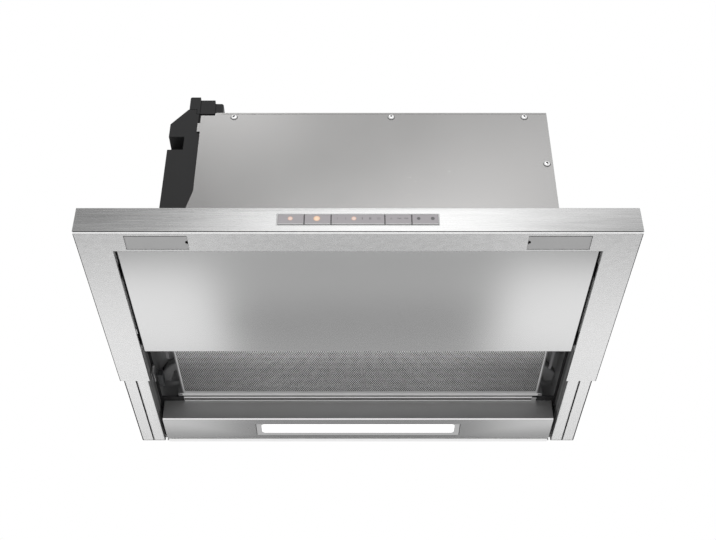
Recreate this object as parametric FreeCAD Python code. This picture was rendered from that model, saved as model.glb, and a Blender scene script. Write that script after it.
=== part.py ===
import FreeCAD, Part
import math
import os

from FreeCAD import Vector

# Pull-out range hood for a 600 mm wall cabinet, drawn with the pull-out frame extended.
# X runs across the hood, Y from the front face to the back, Z up from the underside.
# All lengths are millimetres and all angles degrees.

# Driving dimensions of the whole hood
hood_width = 595.0
fascia_height = 32.2
frame_depth = 300.3
travel = 160.0
housing_inset = 33.5
housing_depth = 234.3
housing_top = 391.5
floor_level = 29.5

# Sheet, fits and clearances
sheet = 1.0
slip = 0.3
screw_clear = 0.1
running_gap = 0.05
overrun = 4.0
tiny = 0.000001

# Places that several pieces share
half_width = hood_width / 2
housing_half = half_width - housing_inset
back = frame_depth + travel
housing_front = back - housing_depth
floor_top = floor_level + sheet
roof_inside = housing_top - sheet
middle_y = back / 2

# Fascia strip and the hollow front bar behind it
fascia_thickness = 1.2
fascia_lift = 0.6
fascia_flange = 12.0
bar_depth = 33.5
lid_thickness = 0.8
nose_radius = 3.0
bar_wall_top = fascia_height - fascia_thickness - lid_thickness
stud_radius = 2.0
stud_length = 9.0

# Side bars of the pull-out frame, with their lips beside the screen plate
side_bar_width = 37.0
inner_lip = 6.0
side_bar_height = floor_level - sheet
bar_inside = half_width - side_bar_width

# Control strip with five keys
strip_half = 85.2
strip_rise = 8.2
strip_height = 15.6
strip_bottom = strip_rise
strip_top = strip_rise + strip_height
strip_middle = strip_rise + strip_height / 2
key_shares = (0.0, 1 / 6, 1 / 3, 2 / 3, 5 / 6, 1.0)
key_rib = 0.6
key_gap = 0.25
key_travel = 1.2
key_recess = 0.2
strip_rim = 0.6
strip_sill = 1.3
strip_depth = 9.0

# Screw covers in the underside of the front bar
cover_inset = 52.1
cover_length = 66.6
cover_front = 7.4
cover_gap = 0.25
cover_thickness = 1.4
cover_recess = 0.5
notch_radius = 3.0
cover_far = half_width - cover_inset
cover_near = cover_far - cover_length
cover_rear = bar_depth - 2 * sheet - slip - cover_gap

# Smooth screen plate that slides over the intake
plate_gap = 4.5
plate_thickness = 1.0
plate_shortfall = 102.6
plate_flange = 7.0
plate_joint = 0.5
hem_radius = 1.2
plate_half = bar_inside - plate_gap
plate_front = bar_depth + plate_joint
plate_depth = frame_depth - plate_shortfall
plate_rear = plate_front + plate_depth

# Telescopic runners: fixed rail, middle member, inner blade
rail_width = 30.5
rail_inset = 0.9
rail_clear = 1.0
slot_offset = 14.6
slot_width = 2.6
rail_inner = housing_half - rail_inset
rail_outer = rail_inner + rail_width
rail_bottom = sheet + rail_clear
rail_top = floor_level
slot_middle = rail_inner + slot_offset
middle_half = 12.0
middle_slot = 4.0
middle_end_gap = 8.3
middle_start_gap = 10.0
middle_top_gap = 1.5
middle_floor_gap = 1.2
middle_share = 0.5
middle_length = housing_depth - middle_start_gap - middle_end_gap
middle_front = housing_front + middle_start_gap - travel * middle_share
middle_bottom = rail_bottom + sheet + middle_floor_gap
middle_top = rail_top - sheet - middle_top_gap
blade_thickness = 1.2
blade_length = 200.0
blade_end_gap = 10.3
blade_front = frame_depth - blade_end_gap - blade_length
head_half = 7.7
head_drop = 8.0
head_level = middle_top - head_drop
glide_length = 20.0
glide_inset = 4.0

# Opening in the housing floor and the moulded air guide above it
opening_side = 4.0
opening_setback = 12.0
opening_rear_gap = 63.3
guide_margin = 2.5
guide_front_margin = 6.5
guide_wall = 2.5
guide_height = 29.5
guide_radius = 14.0
throat_side = 42.0
throat_rear_inset = 6.0
throat_front_inset = 10.0
opening_half = housing_half - opening_side
opening_front = housing_front + opening_setback
opening_rear = back - opening_rear_gap
guide_top = floor_top + guide_height
throat_half = housing_half - throat_side

# Grease filter, hinged at its rear edge, with a sprung latch in front
filter_left_inset = 32.6
filter_right_inset = 26.7
filter_front_gap = 4.0
filter_rear_gap = 11.0
filter_height = 9.0
filter_sink = 0.5
filter_side_rim = 3.0
filter_end_rim = 11.0
filter_lip = 0.8
mesh_thickness = 0.6
fold_pitch = 9.0
fold_gauge = 0.4
pin_radius = 1.5
pin_length = 5.0
pin_rise = 2.6
pin_setback = 2.4
boss_gap = 0.6
boss_length = 6.0
boss_half = 3.2
filter_left = -housing_half + filter_left_inset
filter_right = housing_half - filter_right_inset
filter_front = opening_front + filter_front_gap
filter_rear = opening_rear - filter_rear_gap
filter_bottom = floor_level - filter_sink
filter_top = filter_bottom + filter_height
pin_y = filter_rear - pin_setback
pin_level = filter_bottom + pin_rise
throat_front = filter_front + throat_front_inset
throat_rear = filter_rear - throat_rear_inset
latch_half = 20.0
latch_length = 15.0
latch_travel = 4.0
latch_lap = 1.5
latch_nose_front = opening_front - latch_lap
latch_pocket_rear = latch_nose_front + latch_length
latch_top = filter_bottom + filter_height * 2 / 3

# Folded light panel behind the intake
panel_side = 6.0
panel_gap = 1.0
panel_rear_gap = 9.3
panel_lean = 1.7
panel_lip = 10.2
panel_bend = 2.2
panel_half = housing_half - panel_side
panel_front = opening_rear + panel_gap
panel_rear = back - panel_rear_gap
light_half = 136.0
light_front_gap = 13.0
light_rear_gap = 9.5
lens_side = 7.5
lens_front_gap = 1.4
lens_rear_gap = 6.8
lens_radius = 4.0
light_gap = 0.2
light_front = panel_front + light_front_gap
light_rear = panel_rear - light_rear_gap
lens_half = light_half - lens_side
lens_front = light_front + lens_front_gap
lens_rear = light_rear - lens_rear_gap
bezel_gauge = 1.2
bezel_wall = 2.0
board_level = 8.0

# Electronics case in the front left corner of the housing
case_side = 2.5
case_width = 61.5
case_height = 201.5
case_depth = 73.0
case_wall = 2.2
case_setback = 1.0
recess_width = 21.5
recess_top_drop = 44.0
recess_height = 23.5
recess_depth = 26.0
case_slope_drop = 19.7
case_peak_rise = 8.8
case_slope_run = 23.0
case_step_drop = 0.5
case_step_run = 12.0
case_left = -housing_half + case_side
case_inner = case_left + case_width
case_bottom = housing_top - case_height
case_step = case_left + case_slope_run + case_step_run
case_peak = housing_top + case_peak_rise
case_shelf = housing_top - case_step_drop
recess_high = housing_top - recess_top_drop
recess_low = recess_high - recess_height
pocket_back = housing_front + case_depth

# Front cover
cover_plane = housing_front - sheet
cover_screw_radius = 1.9

# Outlet collar with two gravity flaps
collar_y = housing_front + housing_depth / 2
collar_radius = 74.6
collar_wall = 2.0
collar_height = 38.5
collar_flange = 10.0
collar_base = 3.0
collar_bore = collar_radius - collar_wall
flap_rise = 8.5
flap_thickness = 1.2
flap_gap = 1.6
flap_axis_offset = 3.6
flap_barrel = 2.0
flap_pin = 1.3
flap_pin_length = 4.0
hinge_boss = 6.5
hinge_wall = 1.4
flap_level = housing_top + flap_rise

# Double-inlet blower on an axis along X
blower_room = 94.3
fan_rear_room = 24.3
fan_drop = 161.5
blade_depth = 13.0
fan_outer = (housing_depth - blower_room) / 2
fan_inner = fan_outer - blade_depth
fan_half = 54.0
blade_count = 24
fan_blade_gauge = 1.1
shaft_radius = 4.0
scroll_start_gap = 8.0
scroll_growth = 30.0
scroll_start_angle = 50.0
scroll_end_angle = -180.0
scroll_side_gap = 8.0
scroll_wall = 2.5
scroll_flange = 8.0
inlet_lap = 1.0
fan_y = back - fan_outer - fan_rear_room
fan_z = housing_top - fan_drop
scroll_start_radius = fan_outer + scroll_start_gap
scroll_half = fan_half + scroll_side_gap
inlet_radius = fan_inner + inlet_lap
scroll_outside = scroll_half + scroll_wall
motor_gap = 9.0
motor_stand = 5.0
motor_low = -scroll_outside - motor_stand
motor_high = -motor_gap
motor_air_gap = 14.0
motor_band = fan_inner - motor_air_gap
bell_step = 6.0
motor_bell = motor_band - bell_step
pad_height = 2.0
pad_room = 16.0
pad_reach = inlet_radius + pad_room
arm_angles = (90.0, 210.0, 330.0)

# Cabinet brackets
cabinet_inset = 15.5
bracket_rear_gap = 18.3
bracket_length = 90.0
bracket_top_drop = 11.5
bracket_step_drop = 51.5
bracket_foot_drop = 91.5
bracket_thickness = 1.5
bracket_hole = 2.5
bracket_hole_pitch = 60.0
bracket_hole_rise = 18.0
cabinet_half = half_width - cabinet_inset
bracket_rear = back - bracket_rear_gap
bracket_front = bracket_rear - bracket_length
bracket_top = housing_top - bracket_top_drop
bracket_step = housing_top - bracket_step_drop
bracket_foot = housing_top - bracket_foot_drop

# Reed switch on the air guide and the magnet on the frame that meets it
reed_length = 26.0
reed_rear_gap = 60.0
magnet_length = 10.0
reed_middle = opening_rear - reed_rear_gap + reed_length / 2
magnet_middle = reed_middle - travel


def block(x, y, z):
    """Box between a low and a high limit along each axis."""
    return Part.makeBox(x[1] - x[0], y[1] - y[0], z[1] - z[0], Vector(x[0], y[0], z[0]))


def across(axis, u, v, w):
    """Point with coordinate w along an axis and u, v in the plane across it."""
    if axis == "X":
        return Vector(w, u, v)
    if axis == "Y":
        return Vector(u, w, v)
    return Vector(u, v, w)


def along(axis, length):
    """Vector of a given length along an axis."""
    return across(axis, 0, 0, length)


def slab(points, axis, low, high):
    """Straight-sided outline in the plane across an axis, swept from low to high."""
    corners = [across(axis, u, v, low) for u, v in points]
    face = Part.Face(Part.makePolygon(corners + corners[:1]))
    return face.extrude(along(axis, high - low))


def rod(radius, axis, low, high, u, v):
    """Round bar along an axis, centred on u, v in the plane across it."""
    return Part.makeCylinder(radius, high - low, across(axis, u, v, low), along(axis, 1))


def tube(outer, inner, axis, low, high, u, v):
    """Round bar with a bore right through."""
    return rod(outer, axis, low, high, u, v).cut(rod(inner, axis, low - overrun, high + overrun, u, v))


def edges_along(shape, axis):
    """Straight edges of a shape that run along one axis."""
    direction = along(axis, 1)
    found = []
    for edge in shape.Edges:
        if edge.Curve.TypeId != "Part::GeomLine":
            continue
        if abs(abs(edge.tangentAt(edge.FirstParameter).dot(direction)) - 1) < tiny:
            found.append(edge)
    return found


def rounded(shape, radius, axis):
    """Shape with all its straight edges along one axis rounded."""
    return shape.makeFillet(radius, edges_along(shape, axis))


def mirrored(shape):
    """The same piece on the other side of the middle plane."""
    return shape.mirror(Vector(0, 0, 0), Vector(1, 0, 0))


def joined(shapes):
    """One solid out of pieces that touch or overlap."""
    return shapes[0].fuse(shapes[1:]).removeSplitter()


def hexagon(flats, axis, low, high, u, v):
    """Six-sided bar along an axis, centred on u, v, with a given width across its flats."""
    side_count = 6
    corner = flats / math.sqrt(3)
    turns = [2 * math.pi * step / side_count for step in range(side_count)]
    corners = [(u + corner * math.cos(turn), v + corner * math.sin(turn)) for turn in turns]
    return slab(corners, axis, low, high)


def prism_about(axis, u, v, half_u, half_v, low, high):
    """Rectangular bar along an axis, centred on u, v."""
    corners = [(u - half_u, v - half_v), (u + half_u, v - half_v),
               (u + half_u, v + half_v), (u - half_u, v + half_v)]
    return slab(corners, axis, low, high)


def key_limits(index):
    """Low and high X of the space between the strip's ribs for one key."""
    inside = strip_half - strip_rim
    low = -inside + 2 * inside * key_shares[index]
    high = -inside + 2 * inside * key_shares[index + 1]
    return low + key_rib / 2, high - key_rib / 2


def stud_places():
    """X of the fascia's studs, one above each screw cover."""
    middle = (cover_near + cover_far) / 2
    return (-middle, middle)


def pullout_frame():
    """U-shaped pressing: a hollow front bar and two side bars that run over the fixed rails."""
    front = fascia_thickness
    body = block((-half_width, half_width), (front, frame_depth), (0, side_bar_height))
    body = body.fuse(block((-half_width, half_width), (front, bar_depth), (0, bar_wall_top))).removeSplitter()
    nose = [edge for edge in edges_along(body, "X")
            if edge.CenterOfMass.y < front + tiny and edge.CenterOfMass.z < tiny]
    body = body.makeFillet(nose_radius, nose)
    bar_hollow = block((-half_width + sheet, half_width - sheet),
                       (front + sheet, bar_depth - sheet), (sheet, bar_wall_top + overrun))
    hollow_nose = [edge for edge in edges_along(bar_hollow, "X")
                   if edge.CenterOfMass.y < front + sheet + tiny and edge.CenterOfMass.z < sheet + tiny]
    bar_hollow = bar_hollow.makeFillet(nose_radius - sheet, hollow_nose)
    middle = block((-bar_inside, bar_inside), (bar_depth, frame_depth + overrun), (-overrun, bar_wall_top))
    side = block((bar_inside + sheet, half_width - sheet),
                 (bar_depth, frame_depth + overrun), (sheet, side_bar_height + overrun))
    lip_top = block((bar_inside - overrun, bar_inside + 2 * sheet),
                    (bar_depth, frame_depth + overrun), (inner_lip, side_bar_height + overrun))
    window = block((-strip_half - light_gap, strip_half + light_gap),
                   (front - overrun, front + sheet + overrun),
                   (strip_bottom - light_gap, strip_top + light_gap))
    cover_hole = block((cover_near, cover_far), (cover_front, cover_rear), (-overrun, sheet + overrun))
    studs = [rod(stud_radius + screw_clear, "Y", 0, front + sheet + overrun, x, strip_middle)
             for x in stud_places()]
    tools = [bar_hollow, middle, side, mirrored(side), lip_top, mirrored(lip_top),
             window, cover_hole, mirrored(cover_hole)]
    return body.cut(tools + studs)


def fascia():
    """Brushed front strip with a top flange, a window for the keys and two welded studs."""
    front = block((-half_width, half_width), (0, fascia_thickness), (fascia_lift, fascia_height))
    flange = block((-half_width, half_width), (0, fascia_flange),
                   (fascia_height - fascia_thickness, fascia_height))
    strip = joined([front, flange])
    outer_bend = [edge for edge in edges_along(strip, "X")
                  if edge.CenterOfMass.y < tiny and edge.CenterOfMass.z > fascia_height - tiny]
    strip = strip.makeFillet(fascia_thickness * 2 / 3, outer_bend)
    window = block((-strip_half - light_gap, strip_half + light_gap),
                   (-overrun, fascia_thickness + overrun),
                   (strip_bottom - light_gap, strip_top + light_gap))
    studs = [rod(stud_radius, "Y", fascia_thickness, fascia_thickness + stud_length, x, strip_middle)
             for x in stud_places()]
    return strip.cut(window).fuse(studs).removeSplitter()


def fascia_nuts():
    """Hexagon nuts on the fascia's studs, inside the front bar."""
    flats = 7.0
    thickness = 3.2
    seat = fascia_thickness + sheet
    nuts = []
    for x in stud_places():
        bore = rod(stud_radius + running_gap, "Y", seat - overrun, seat + thickness + overrun,
                   x, strip_middle)
        nuts.append(hexagon(flats, "Y", seat, seat + thickness, x, strip_middle).cut(bore))
    return nuts


def bar_lid():
    """Thin lid over the hollow front bar, tucked under the fascia's flange."""
    top = bar_wall_top + lid_thickness
    skirt = 6.0
    inset = sheet + slip
    lid = block((-half_width, half_width), (fascia_thickness, bar_depth), (bar_wall_top, top))
    rear = block((-half_width + inset, half_width - inset),
                 (bar_depth - inset - lid_thickness, bar_depth - inset), (bar_wall_top - skirt, top))
    return joined([lid, rear])


def control_strip():
    """Moulded strip that guides the five keys, with a raised sill along its bottom edge."""
    body = block((-strip_half, strip_half), (0, strip_depth), (strip_bottom, strip_top))
    shoulder = 3.0
    flange_front = fascia_thickness + sheet
    flange = block((-strip_half - shoulder, strip_half + shoulder),
                   (flange_front, strip_depth), (strip_bottom - shoulder, strip_top + shoulder))
    pockets = []
    for index in range(len(key_shares) - 1):
        low, high = key_limits(index)
        pockets.append(block((low, high), (-overrun, strip_depth + overrun),
                             (strip_bottom + strip_sill, strip_top - strip_rim)))
    return joined([body, flange]).cut(pockets)


def control_key(index):
    """One push key: a face with bevelled edges and a stem that reaches its switch."""
    face_depth = 3.6
    stem_half = 2.5
    corner = 0.4
    low, high = key_limits(index)
    bottom = strip_bottom + strip_sill + key_gap
    top = strip_top - strip_rim - key_gap
    face = block((low + key_gap, high - key_gap), (key_recess, key_recess + face_depth), (bottom, top))
    rim = [edge for edge in face.Edges if edge.CenterOfMass.y < key_recess + tiny]
    face = face.makeChamfer(corner, rim)
    middle_x = (low + high) / 2
    middle_z = (bottom + top) / 2
    stem = prism_about("Y", middle_x, middle_z, stem_half, stem_half, key_recess + face_depth, strip_depth)
    return joined([face, stem])


def control_board():
    """Circuit board behind the keys with one switch per key and a connector."""
    board_thickness = 1.6
    switch_half = 3.0
    switch_depth = 2.6
    board_front = strip_depth + key_travel + slip + switch_depth
    margin = 3.0
    connector_half = 9.0
    connector_depth = 5.0
    post = 3.0
    board = block((-strip_half - margin, strip_half + margin),
                  (board_front, board_front + board_thickness), (strip_bottom - margin, strip_top + margin))
    parts = [board]
    for index in range(len(key_shares) - 1):
        low, high = key_limits(index)
        parts.append(prism_about("Y", (low + high) / 2, strip_middle, switch_half, switch_half,
                                 board_front - switch_depth, board_front))
    parts.append(prism_about("Y", strip_half / 2, strip_middle, connector_half, switch_half,
                             board_front + board_thickness, board_front + board_thickness + connector_depth))
    for side in (-1, 1):
        x = side * (strip_half + margin - post / 2)
        parts.append(prism_about("Y", x, strip_middle, post / 2, post, strip_depth, board_front))
    return joined(parts)


def screw_cover():
    """Clip-in cover in the bar's underside, with a half-round notch to prise it out."""
    low_x = cover_near + cover_gap
    high_x = cover_far - cover_gap
    low_y = cover_front + cover_gap
    high_y = cover_rear - cover_gap
    clip_half = 4.0
    clip_reach = 1.2
    clip_thickness = 1.2
    clip_low = sheet + slip
    clip_high = clip_low + 2 * clip_thickness
    body = block((low_x, high_x), (low_y, high_y), (cover_recess, cover_recess + cover_thickness))
    notch = rod(notch_radius, "Z", -overrun, cover_recess + cover_thickness + overrun,
                low_x, (low_y + high_y) / 2)
    body = body.cut(notch)
    parts = [body]
    middle_x = (low_x + high_x) / 2
    for edge, way in ((low_y, 1), (high_y, -1)):
        leg_far = edge + way * clip_thickness
        leg = block((middle_x - clip_half, middle_x + clip_half), (min(edge, leg_far), max(edge, leg_far)),
                    (cover_recess, clip_high))
        hook_far = edge - way * clip_reach
        hook = block((middle_x - clip_half, middle_x + clip_half), (min(edge, hook_far), max(edge, hook_far)),
                     (clip_low, clip_high))
        parts.extend([leg, hook])
    return joined(parts)


def screen_plate():
    """Smooth sheet below the pull-out: side and front flanges turned up, rounded hem behind."""
    front_flange = 12.0
    hem_depth = 9.0
    nose_share = 0.9
    skin = block((-plate_half, plate_half), (plate_front, plate_rear - hem_depth / 2), (0, plate_thickness))
    hem = block((-plate_half, plate_half), (plate_rear - hem_depth, plate_rear), (0, 2 * hem_radius))
    nose = [edge for edge in edges_along(hem, "X") if edge.CenterOfMass.y > plate_rear - tiny]
    hem = hem.makeFillet(hem_radius * nose_share, nose)
    side = block((plate_half - plate_thickness, plate_half),
                 (plate_front, plate_rear - hem_depth), (0, plate_flange))
    front = block((-plate_half, plate_half), (plate_front, plate_front + plate_thickness), (0, front_flange))
    return joined([skin, hem, side, mirrored(side), front])


def plate_fixings():
    """Spacer strips on the front bar, and along each side a web with two hooks that hangs the plate."""
    strip_half_length = 60.0
    strip_share = 0.5
    strip_low = 3.0
    strip_high = 10.0
    clip_length = 25.0
    clip_front_share = 0.14
    clip_gap = 2.0
    clip_front = plate_front + plate_depth * clip_front_share
    clip_rear = magnet_middle + magnet_length / 2 + clip_gap
    clip_gauge = 0.8
    parts = []
    for side in (-1, 1):
        x = side * plate_half * strip_share
        parts.append(block((x - strip_half_length, x + strip_half_length),
                           (bar_depth, plate_front), (strip_low, strip_high)))
    side_parts = [block((plate_half, bar_inside), (plate_front, plate_rear - 2 * hem_radius),
                        (plate_flange, plate_flange + clip_gauge))]
    for y in (clip_front, clip_rear):
        outline = [(plate_half, plate_thickness), (plate_half, plate_flange + clip_gauge),
                   (bar_inside, plate_flange + clip_gauge), (bar_inside, sheet + clip_gauge),
                   (bar_inside - clip_gauge, sheet + clip_gauge), (bar_inside - clip_gauge, plate_flange),
                   (plate_half + clip_gauge, plate_flange), (plate_half + clip_gauge, plate_thickness)]
        side_parts.append(slab(outline, "Y", y, y + clip_length))
    hanger = joined(side_parts)
    return parts + [hanger, mirrored(hanger)]


def side_rail():
    """Fixed rail under the floor ring: a C-section, open below through a narrow slot."""
    body = block((rail_inner, rail_outer), (housing_front, back - sheet), (rail_bottom, rail_top))
    body = body.makeFillet(sheet, edges_along(body, "Y"))
    hollow = block((rail_inner + sheet, rail_outer - sheet),
                   (housing_front - overrun, back + overrun), (rail_bottom + sheet, rail_top - sheet))
    slot = block((slot_middle - slot_width / 2, slot_middle + slot_width / 2),
                 (housing_front - overrun, back + overrun),
                 (rail_bottom - overrun, rail_bottom + sheet + overrun))
    return body.cut([hollow, slot])


def middle_runner():
    """Middle member: a smaller C-section that runs inside the rail."""
    low_x = slot_middle - middle_half
    high_x = slot_middle + middle_half
    y = (middle_front, middle_front + middle_length)
    open_y = (y[0] - overrun, y[1] + overrun)
    body = block((low_x, high_x), y, (middle_bottom, middle_top))
    body = body.makeFillet(sheet, edges_along(body, "Y"))
    hollow = block((low_x + sheet, high_x - sheet), open_y, (middle_bottom + sheet, middle_top - sheet))
    slot = block((slot_middle - middle_slot / 2, slot_middle + middle_slot / 2), open_y,
                 (middle_bottom - overrun, middle_bottom + sheet + overrun))
    return body.cut([hollow, slot])


def glide_places(front, length):
    """Y limits of the two glides near the ends of a runner."""
    first = front + glide_inset
    last = front + length - glide_inset - glide_length
    return ((first, first + glide_length), (last, last + glide_length))


def middle_glides():
    """Nylon saddles on the middle member that slide inside the rail."""
    leg_drop = 18.0
    low_x = rail_inner + sheet + slip
    high_x = rail_outer - sheet - slip
    top = rail_top - sheet - slip
    leg_bottom = middle_top - leg_drop
    glides = []
    for y in glide_places(middle_front, middle_length):
        saddle = block((low_x, high_x), y, (leg_bottom, top))
        runner = block((slot_middle - middle_half, slot_middle + middle_half),
                       (y[0] - overrun, y[1] + overrun), (leg_bottom - overrun, middle_top))
        glides.append(saddle.cut(runner))
    return glides


def blade_runner():
    """Inner member: an upright blade on the frame's side bar with a flat head in the middle member."""
    y = (blade_front, blade_front + blade_length)
    web = block((slot_middle - blade_thickness / 2, slot_middle + blade_thickness / 2), y,
                (sheet, head_level))
    head = block((slot_middle - head_half, slot_middle + head_half), y,
                 (head_level, head_level + blade_thickness))
    return joined([web, head])


def blade_glides():
    """Nylon blocks on the blade that slide inside the middle member."""
    low_x = slot_middle - middle_half + sheet + slip
    high_x = slot_middle + middle_half - sheet - slip
    bottom = middle_bottom + sheet + slip
    top = middle_top - sheet - slip
    glides = []
    for y in glide_places(blade_front, blade_length):
        body = block((low_x, high_x), y, (bottom, top))
        web = block((slot_middle - blade_thickness / 2, slot_middle + blade_thickness / 2),
                    (y[0] - overrun, y[1] + overrun), (bottom - overrun, head_level + tiny))
        head = block((slot_middle - head_half, slot_middle + head_half),
                     (y[0] - overrun, y[1] + overrun), (head_level, head_level + blade_thickness))
        glides.append(body.cut(web.fuse(head)))
    return glides + [mirrored(glide) for glide in glides]


def cover_screw_places():
    """X and Z of the four screws that hold the front cover: three along its top, one at its right edge."""
    side_shares = (-0.656, 0.176, 0.88)
    height_share = 0.735
    edge = 8.4
    places = [(housing_half * share, housing_top - edge) for share in side_shares]
    places.append((housing_half - edge, floor_top + (housing_top - floor_top) * height_share))
    return places


def housing_shell():
    """Folded housing: roof, back, sides and a corner pocket for the electronics case."""
    y = (housing_front, back)
    pocket_floor = case_bottom - slip
    pocket_x = case_inner + sheet
    outer = block((-housing_half, housing_half), y, (floor_top, housing_top))
    outer = outer.cut(block((-housing_half - overrun, case_inner), (housing_front - overrun, pocket_back),
                            (pocket_floor, housing_top + overrun)))
    inner = block((-housing_half + sheet, housing_half - sheet),
                  (housing_front - overrun, back - sheet), (floor_top - overrun, roof_inside))
    inner = inner.cut(block((-housing_half - overrun, pocket_x),
                            (housing_front - 2 * overrun, pocket_back + sheet),
                            (pocket_floor - sheet, housing_top + overrun)))
    shell = outer.cut(inner)
    edge = 16.0
    frame = block((-housing_half + sheet, housing_half - sheet),
                  (housing_front, housing_front + sheet), (floor_top, roof_inside))
    frame = frame.cut(block((-housing_half + edge, housing_half - edge),
                            (housing_front - overrun, housing_front + sheet + overrun),
                            (floor_top + edge, roof_inside - edge)))
    frame = frame.cut(block((-housing_half - overrun, pocket_x),
                            (housing_front - overrun, housing_front + overrun),
                            (pocket_floor - sheet, housing_top + overrun)))
    pocket_edge = block((case_inner, case_inner + edge), (housing_front, housing_front + sheet),
                        (pocket_floor, roof_inside))
    shell = joined([shell, frame, pocket_edge])
    outlet = rod(collar_bore, "Z", roof_inside - overrun, housing_top + overrun, 0, collar_y)
    screws = [rod(cover_screw_radius + screw_clear, "Y", housing_front - overrun,
                  housing_front + sheet + overrun, x, z) for x, z in cover_screw_places()]
    return shell.cut([outlet] + screws)


def floor_ring():
    """Floor of the housing round the intake, turned down behind the rails and the light panel."""
    plate = block((-rail_outer, rail_outer), (housing_front, back), (floor_level, floor_top))
    flange = block((-rail_outer, rail_outer), (back - sheet, back), (rail_bottom, floor_level))
    intake = block((-opening_half, opening_half), (opening_front, opening_rear),
                   (floor_level - overrun, floor_top + overrun))
    lip_room = 0.6
    lip_ways = [block((low - lip_room, low + sheet + lip_room), (back - sheet - overrun, back + overrun),
                      (rail_bottom - overrun, inner_lip + lip_room)) for low in (bar_inside, -bar_inside - sheet)]
    return joined([plate, flange]).cut([intake] + lip_ways)


def front_cover():
    """Satin front sheet, stepped round the electronics case, with screw holes."""
    step_in = 20.7
    step_low = 5.2
    tab_top = case_slope_drop
    tab_bottom = 35.8
    tab_out = 4.3
    shoulder_in = 20.0
    chamfer_top = 143.5
    chamfer_bottom = 171.5
    chamfer_out = 27.0
    step_x = case_inner + sheet
    left_x = step_x - shoulder_in
    tab_x = left_x - tab_out
    low_x = step_x - chamfer_out
    skirt_top = case_bottom - sheet
    outline = [(housing_half, floor_level), (housing_half, housing_top), (step_x, housing_top),
               (step_x, housing_top - step_low), (step_x - step_in, housing_top - step_low),
               (step_x - step_in, housing_top - tab_top), (tab_x, housing_top - tab_top),
               (tab_x, housing_top - tab_bottom), (left_x, housing_top - tab_bottom),
               (left_x, housing_top - chamfer_top), (low_x, housing_top - chamfer_bottom),
               (low_x, skirt_top), (-housing_half, skirt_top), (-housing_half, floor_level)]
    sheet_metal = slab(outline, "Y", cover_plane, housing_front)
    holes = [rod(cover_screw_radius + screw_clear, "Y", cover_plane - overrun,
                 housing_front + overrun, x, z) for x, z in cover_screw_places()]
    return sheet_metal.cut(holes)


def cover_screws():
    """Hexagon-headed screws that hold the front cover."""
    flats = 8.0
    head_height = 2.2
    screws = []
    for x, z in cover_screw_places():
        head = hexagon(flats, "Y", cover_plane - head_height, cover_plane, x, z)
        shank = rod(cover_screw_radius, "Y", cover_plane, housing_front + 2 * sheet, x, z)
        screws.append(joined([head, shank]))
    return screws


def case_outline(inset):
    """Front outline of the electronics case, drawn in by a wall thickness."""
    left = case_left + inset
    right = case_inner - slip - inset
    peak_x = left + case_slope_run - inset
    step_x = case_step - inset
    slope_low = housing_top - case_slope_drop
    return [(right, case_bottom + inset), (left, case_bottom + inset), (left, slope_low - inset / 2),
            (peak_x, case_peak - inset), (step_x, case_peak - inset),
            (step_x, case_shelf - inset), (right, case_shelf - inset)]


def electronics_case():
    """Black moulded case, open behind, with a hand recess in its left side."""
    front = housing_front + case_setback
    rear = pocket_back - slip
    recess_right = case_left + recess_width
    recess_rear = front + recess_depth
    body = slab(case_outline(0), "Y", front, rear)
    body = body.makeFillet(case_wall, edges_along(body, "Y")[1:3])
    recess = block((case_left - overrun, recess_right), (front - overrun, recess_rear),
                   (recess_low, recess_high))
    recess_walls = block((case_left - overrun, recess_right + case_wall),
                         (front - overrun, recess_rear + case_wall),
                         (recess_low - case_wall, recess_high + case_wall))
    hollow = slab(case_outline(case_wall), "Y", front + case_wall, rear + overrun).cut(recess_walls)
    body = body.cut([recess, hollow])
    ribs = []
    rib_gauge = 1.6
    rib_width = 3.2
    rib_count = 4
    for step in range(rib_count):
        z = case_bottom + (recess_low - case_bottom) * (step + 1) / (rib_count + 1)
        ribs.append(block((case_left + case_wall - tiny, case_left + case_wall + rib_width),
                          (front + case_wall - tiny, rear), (z, z + rib_gauge)))
    return joined([body] + ribs)


def terminal_head():
    """Stepped moulded head on top of the case: three blocks that fall away to the right."""
    front = housing_front + case_setback
    depth = 60.0
    high_rise = 32.5
    middle_rise = 26.5
    low_rise = 19.5
    high_run = 15.0
    middle_run = 21.0
    low_run = 12.0
    head_inset = 23.5
    corner = 3.0
    left = case_left + head_inset
    first = left
    parts = []
    for rise, run in ((high_rise, high_run), (middle_rise, middle_run), (low_rise, low_run)):
        bottom = case_peak + slip if left < case_step else housing_top + slip
        parts.append(block((left, left + run), (front, front + depth), (bottom, housing_top + rise)))
        left = left + run
    foot = block((case_step + slip, case_inner - slip), (front, front + depth),
                 (case_shelf + slip, case_peak + 2 * slip))
    head = joined(parts + [foot])
    corners = [edge for edge in edges_along(head, "Z")
               if edge.CenterOfMass.x > left - tiny or edge.CenterOfMass.x < first + tiny]
    return head.makeFillet(corner, corners)


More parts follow.
